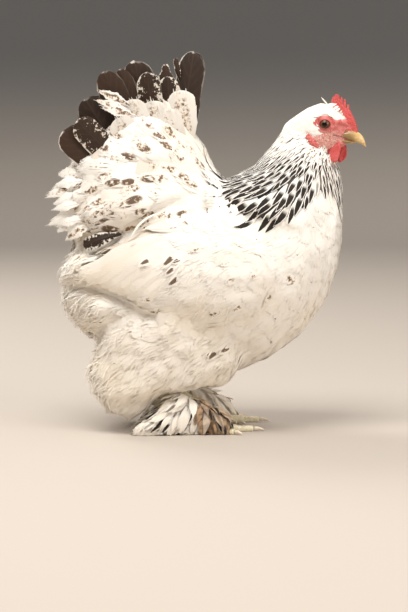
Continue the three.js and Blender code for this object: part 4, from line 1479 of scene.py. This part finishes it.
whiteLook = {
    # root is the down's own grey under-colour, also standing in as painted shade between overlapping
    # feathers
    "white": (0.91, 0.885, 0.84), "cream": (0.87, 0.79, 0.67), "root": (0.76, 0.74, 0.72),
    # the last colour is the tan of the painted shade in the saddle's folds
    "spot": (0.105, 0.062, 0.037), "halo": (0.50, 0.35, 0.22), "foldShade": (0.50, 0.38, 0.27),
}
lacedLook = {
    "black": ((0.008, 0.007, 0.007), (0.035, 0.024, 0.018)),
    "tan": ((0.44, 0.28, 0.15), (0.15, 0.08, 0.038)),
}
darkLook = {
    "brown": ((0.012, 0.008, 0.006), (0.062, 0.032, 0.018)), "streak": (0.12, 0.065, 0.038),
    "mottle": (0.72, 0.66, 0.57), "rim": (0.78, 0.72, 0.64), "shaft": (0.05, 0.028, 0.018),
}
skinLook = {
    "down": ((0.80, 0.76, 0.70), (0.10, 0.085, 0.075)), "face": ((0.54, 0.09, 0.08), (0.70, 0.21, 0.19)),
    "cheek": ((0.62, 0.20, 0.17), (0.82, 0.52, 0.45)), "bristle": (0.88, 0.76, 0.68),
    "comb": ((0.57, 0.05, 0.048), (0.70, 0.11, 0.10)), "leg": ((0.70, 0.60, 0.38), (0.84, 0.78, 0.60)),
    # rim is the colour of the painted shadow at the gape and round the eyeball
    "rim": (0.22, 0.055, 0.045),
}
eyeLook = {
    "iris": ((0.13, 0.038, 0.016), (0.07, 0.02, 0.01)), "fibre": (0.21, 0.072, 0.03),
    # edge is the eye's own dark outer ring, with painted shadow under the lids
    "pupil": (0.003, 0.003, 0.003), "edge": (0.04, 0.014, 0.01),
}
hornLook = {
    "beak": ((0.80, 0.58, 0.27), (0.64, 0.39, 0.15)), "claw": ((0.82, 0.74, 0.60), (0.66, 0.55, 0.40)),
    "root": (0.30, 0.18, 0.07),
}


def whiteFeather(name, sheen=0.08, **marking):
    material, tree, shader = newMaterial(
        name, Roughness=0.8, Specular_IOR_Level=0.3, Sheen_Weight=sheen, Sheen_Roughness=0.5)
    vane = vaneParts(tree, 26.0)
    place = objectPlace(tree)
    cream = noise(place, 14.0).ramp(0.42, 0.72) * 0.5 + attribute(tree, "tone") * 0.2
    # painted shade: the coat turns creamier towards the bottom, where less light reaches it
    cream = cream + place.part(2).ramp(0.05, 0.27, 0.5, 0.0)
    colour = tint(cream, whiteLook["white"], whiteLook["cream"])
    colour = tint(vane["Streaks"].ramp(0.2, 0.6) * 0.22, colour, whiteLook["cream"])
    # greyer towards each feather's root: partly the down's own grey under-colour, partly painted shade
    # where the feathers overlap
    colour = tint(vane["Along"].ramp(0.1, 0.4, 0.6, 0.0), colour, whiteLook["root"])
    marked = spotted if marking else laced
    colour = marked(colour, vane, place, attribute(tree, "dark"), attribute(tree, "mark"), **marking)
    finishLook(shader, colour, vane["Relief"] + vane["Shaft"])
    return material


def laced(colour, vane, place, dark, mark):  # black centres with a white lace, over white or tan
    inside = (dark * 0.6 + 0.4) * 0.80 - vane["Side"] - vane["Along"].ramp(0.90, 1.0, 0.0, 0.8)
    inside = inside + (noise(place, 500.0, 2.0) * 0.16 - 0.08)
    centre = inside.ramp(-0.05, 0.07) * vane["Along"].ramp(0.3, 0.5) * dark.ramp(0.05, 0.4)
    colour = tint(mark, colour, tint(noise(place, 150.0).ramp(0.4, 0.6), *lacedLook["tan"]))
    return tint(centre, colour, tint(noise(place, 60.0), *lacedLook["black"]))


def spotted(colour, vane, place, dark, mark, length, width=0.62):  # a broken brown spot near the tip
    # painted shade: tan where the saddle's folds are, carried by dark
    colour = tint(dark * 0.4, colour, whiteLook["foldShade"])
    sideways = vane["Side"] / width
    down = (vane["Along"] - (0.98 - length)) / length
    away = (sideways * sideways + down * down).calc("SQRT")
    inside = away.ramp(0.7, 1.15, 1.0, 0.0) * mark.ramp(0.05, 0.3)
    blotch = noise(place, 230.0, 3.0, 0.55) * 0.8 + noise(place, 600.0, 2.0) * 0.2
    blotch = blotch + (mark * 0.28 - 0.235)
    colour = tint(blotch.ramp(0.40, 0.50) * inside * 0.8, colour, whiteLook["halo"])
    return tint(blotch.ramp(0.48, 0.56) * inside * 0.9, colour, whiteLook["spot"])


def darkFeather(name):
    material, tree, shader = newMaterial(name, Roughness=0.6, Specular_IOR_Level=0.3)
    vane = vaneParts(tree, 60.0)
    place = objectPlace(tree)
    mark = attribute(tree, "mark")
    brown = noise(place, 30.0) * 0.6 + attribute(tree, "tone") * 0.4
    colour = tint(brown, *darkLook["brown"])
    colour = tint(vane["Streaks"].ramp(0.25, 0.6) * 0.12, colour, darkLook["streak"])
    mottle = noise(place, 250.0, 3.0, 0.6) + (mark * 0.3 - 0.2) + (vane["Side"] * 0.28 - 0.14)
    colour = tint(mottle.ramp(0.5, 0.56) * mark.ramp(0.05, 0.3), colour, darkLook["mottle"])
    # a pale rim, broken here and there and weaker on one side
    wobble = noise(place, 90.0, 2.0) * 0.2 - 0.1
    tip = (wobble * 0.2 + vane["Along"]).ramp(0.986, 0.998)
    rim = (vane["Side"] + wobble).ramp(0.90, 0.97).calc("MAXIMUM", tip)
    rim = rim * vanePlace(tree).part(0).ramp(0.35, 0.7, 0.3, 1.0)
    rim = rim * noise(place, 45.0, 2.0).ramp(0.38, 0.6, 0.15, 1.0) * attribute(tree, "edge")
    colour = tint(rim, colour, darkLook["rim"])
    colour = tint(vane["Shaft"] * 0.6, colour, darkLook["shaft"])
    finishLook(shader, colour, vane["Relief"] + vane["Shaft"])
    return material


def skinMaterial():
    material, tree, shader = newMaterial(
        "birdSkin", Subsurface_Weight=0.12, Subsurface_Scale=0.003, Subsurface_Radius=(1.0, 0.25, 0.15),
        Coat_Roughness=0.4)
    place = objectPlace(tree)
    pale = attribute(tree, "pale")
    broad, fine = noise(place, 120.0, 3.0), noise(place, 700.0, 3.0, 0.6)
    downy = tint(attribute(tree, "dark"), *skinLook["down"])
    face = tint(broad.ramp(0.35, 0.65), *skinLook["face"])
    face = tint(pale, face, tint(fine.ramp(0.35, 0.65), *skinLook["cheek"]))
    bristles = noise(place, 520.0, 2.0).ramp(0.60, 0.66) * pale * 0.7
    face = tint(bristles, face, skinLook["bristle"])
    rich = tint(fine.ramp(0.35, 0.7), *skinLook["comb"])
    colour = tint(attribute(tree, "bare"), downy, tint(attribute(tree, "red"), face, rich))
    legs = tint(noise(place, 260.0, 2.0).ramp(0.3, 0.7), *skinLook["leg"])
    colour = tint(attribute(tree, "leg"), colour, legs)
    # painted shadow along the gape and inside the eyelids
    colour = tint(attribute(tree, "rim"), colour, skinLook["rim"])
    tree.links.new((fine * 0.25 + 0.38).socket, shader.inputs["Roughness"])
    finishLook(shader, colour, fine + noise(place, 330.0, 2.0) * 1.5, 0.35, 0.0006)
    return material


def eyeMaterial():
    material, tree, shader = newMaterial(
        "eye", Roughness=0.2, Specular_IOR_Level=0.22, Coat_Weight=0.14, Coat_Roughness=0.02)
    radial = attribute(tree, "radial")
    fibres = noise(objectPlace(tree), 900.0, 3.0)
    iris = tint(radial.ramp(2.8, 5.2), *eyeLook["iris"])
    iris = tint(fibres.ramp(0.4, 0.7), iris, eyeLook["fibre"])
    outside = (fibres * 0.35 + radial).ramp(eyeForm["pupil"], eyeForm["pupil"] + 0.35)
    colour = tint(outside, eyeLook["pupil"], iris)
    # darker past the iris: the eye's own dark outer ring, and painted shadow where the lids cover the ball
    finishLook(shader, tint(radial.ramp(5.7, 6.3), colour, eyeLook["edge"]))
    return material


def hornMaterial(name, colours, root):
    material, tree, shader = newMaterial(
        name, Roughness=0.35, Coat_Weight=0.25, Coat_Roughness=0.25, Subsurface_Weight=0.08,
        Subsurface_Scale=0.002)
    place = objectPlace(tree)
    stretched = addNode(tree, "Mapping", {"Vector": place, "Scale": (0.35, 1.0, 1.0)})
    grain = noise(stretched, 420.0, 4.0, 0.6)
    colour = tint(grain.ramp(0.3, 0.7), *colours)
    away = addNode(tree, "VectorMath", [place, root], "Value", operation="DISTANCE")
    colour = tint(away.ramp(0.013, 0.024, 0.9, 0.0), colour, hornLook["root"])
    finishLook(shader, colour, grain, 0.15, 0.0004)
    return material


def coatMaterial(name):
    if name in ("hackle", "foot"):
        return lacedMaterial
    if name.startswith(("tailWhite", "skirt")):
        return speckledMaterial
    return {"spot": spottedMaterial, "saddle": saddleMaterial}.get(name, whiteMaterial)


farOff = (0, 0, 1)  # no claw is near enough to this place to be tinted
lacedMaterial = whiteFeather("lacedFeather", 0.03)
whiteMaterial = whiteFeather("whiteFeather", length=0.24)
speckledMaterial = whiteFeather("speckledFeather", length=0.5)
spottedMaterial = whiteFeather("spottedFeather", length=0.36)
saddleMaterial = whiteFeather("saddleFeather", length=0.17, width=0.42)
tailMaterial = darkFeather("tailFeather")
for name, piece in coat.items():
    piece.data.materials.append(coatMaterial(name))
for piece in tail.values():
    piece.data.materials.append(tailMaterial)
skin.data.materials.clear()
skin.data.polygons.foreach_set("material_index", np.zeros(len(skin.data.polygons), int))
skin.data.materials.append(skinMaterial())
shiny = eyeMaterial()
for ball in eyeballs.values():
    ball.data.materials.append(shiny)
beakHorn = hornMaterial("beakHorn", hornLook["beak"], tuple(turnedIn(beakForm["root"])))
for piece in (beakTop, beakBottom):
    piece.data.materials.append(beakHorn)
claws.data.materials.append(hornMaterial("clawHorn", hornLook["claw"], farOff))
print("materials")

# ---- floor, lights and camera

studio = {
    "target": (-1.2, 0, 145.8), "distance": 3.2, "elevation": 5, "frameHeight": 0.7344,
    "flatTo": 3.4, "wallAt": 4.6, "wallHeight": 3.0, "curveSteps": 12, "glow": 0.70,
    "paper": ((0.52, 0.46, 0.40), (0.17, 0.165, 0.16)),
}
lamps = [
    {"place": (-0.5, -1.1, 2.5), "size": 1.5, "watts": 64, "colour": (1.0, 0.97, 0.93)},
    {"place": (1.9, -1.7, 1.1), "size": 1.4, "watts": 29, "colour": (1.0, 0.95, 0.90)},
    {"place": (-1.4, 1.7, 1.9), "size": 1.2, "watts": 38, "colour": (1.0, 0.98, 0.95)},
]
target = Vector(toMetres(studio["target"]))


def studioSweep():
    bpy.ops.object.select_all(action="DESELECT")
    bpy.ops.mesh.primitive_circle_add(vertices=96, radius=studio["flatTo"], fill_type="NGON")
    sweep = bpy.context.view_layer.objects.active
    sweep.name = "studioSweep"
    rise = studio["wallAt"] - studio["flatTo"]
    angles = np.linspace(0, math.pi / 2, studio["curveSteps"] + 1).tolist()
    bpy.ops.object.mode_set(mode="EDIT")
    bpy.ops.mesh.select_all(action="SELECT")
    bpy.ops.mesh.select_mode(type="EDGE")
    bpy.ops.mesh.region_to_loop()
    for low, high in zip(angles[:-1], angles[1:]):
        wide = (studio["flatTo"] + rise * math.sin(high)) / (studio["flatTo"] + rise * math.sin(low))
        lift = rise * (math.cos(low) - math.cos(high))
        bpy.ops.mesh.extrude_region_move(TRANSFORM_OT_translate={"value": (0, 0, lift)})
        bpy.ops.transform.resize(value=(wide, wide, 1))
    wall = (0, 0, studio["wallHeight"] - rise)
    bpy.ops.mesh.extrude_region_move(TRANSFORM_OT_translate={"value": wall})
    bpy.ops.object.mode_set(mode="OBJECT")
    facesOut(sweep)
    bpy.ops.object.shade_smooth()
    material, tree, shader = newMaterial("studioPaper", Roughness=0.9)
    height = objectPlace(tree).part(2)
    finishLook(shader, tint(height.ramp(0.0, 0.5), *studio["paper"]))
    sweep.data.materials.append(material)


studioSweep()
for lamp in lamps:
    bpy.ops.object.light_add(type="AREA", location=lamp["place"])
    light = bpy.context.view_layer.objects.active
    light.data.size = lamp["size"]
    light.data.energy = lamp["watts"]
    light.data.color = lamp["colour"]
    light.rotation_euler = (target - light.location).to_track_quat("-Z", "Y").to_euler()
    light.visible_camera = False

world = bpy.data.worlds.new("softLight")
world.use_nodes = True
world.node_tree.nodes["Background"].inputs[0].default_value = (1.0, 0.97, 0.94, 1)
world.node_tree.nodes["Background"].inputs[1].default_value = studio["glow"]
bpy.context.scene.world = world
bpy.context.scene.view_settings.view_transform = "Standard"

tilt = math.radians(studio["elevation"])
lens = bpy.data.cameras.new("camera")
lens.sensor_width = 36
lens.lens = lens.sensor_width * studio["distance"] / studio["frameHeight"]
camera = bpy.data.objects.new("camera", lens)
bpy.context.scene.collection.objects.link(camera)
camera.location = target + Vector((0, -math.cos(tilt), math.sin(tilt))) * studio["distance"]
camera.rotation_euler = (math.pi / 2 - tilt, 0, 0)
bpy.context.scene.camera = camera

# ---- clearing up: the work surfaces go, replaced CAD parts are hidden, and every piece hangs from the root

for surface in (bodySurface, headSurface, bootSurface):
    bpy.data.objects.remove(surface.piece)
skinNodes = fleshNodes + [
    "comb", "wattle_right", "wattle_left", "earlobe_right", "earlobe_left", "shank_right",
    "shank_left", "boot_right", "boot_left",
] + toeNodes
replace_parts(skin, *skinNodes)
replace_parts(beakTop, "beak_upper")
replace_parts(beakBottom, "beak_lower")
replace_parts(claws, *clawNodes)
for label, ball in eyeballs.items():
    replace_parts(ball, "eye_" + label)
others = [skin, beakTop, beakBottom, claws] + list(eyeballs.values())
for piece in list(coat.values()) + list(tail.values()) + others:
    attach(piece, "root")
for label in sides:
    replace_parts(tail["tailMain_" + label], *["tail_feather_%d_%s" % (i, label) for i in range(1, 7)])
    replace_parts(tail["tailCoverts_" + label], *["tail_covert_%d_%s" % (i, label) for i in range(1, 4)])
    tail["tailMain_" + label]
    tail["tailCoverts_" + label]
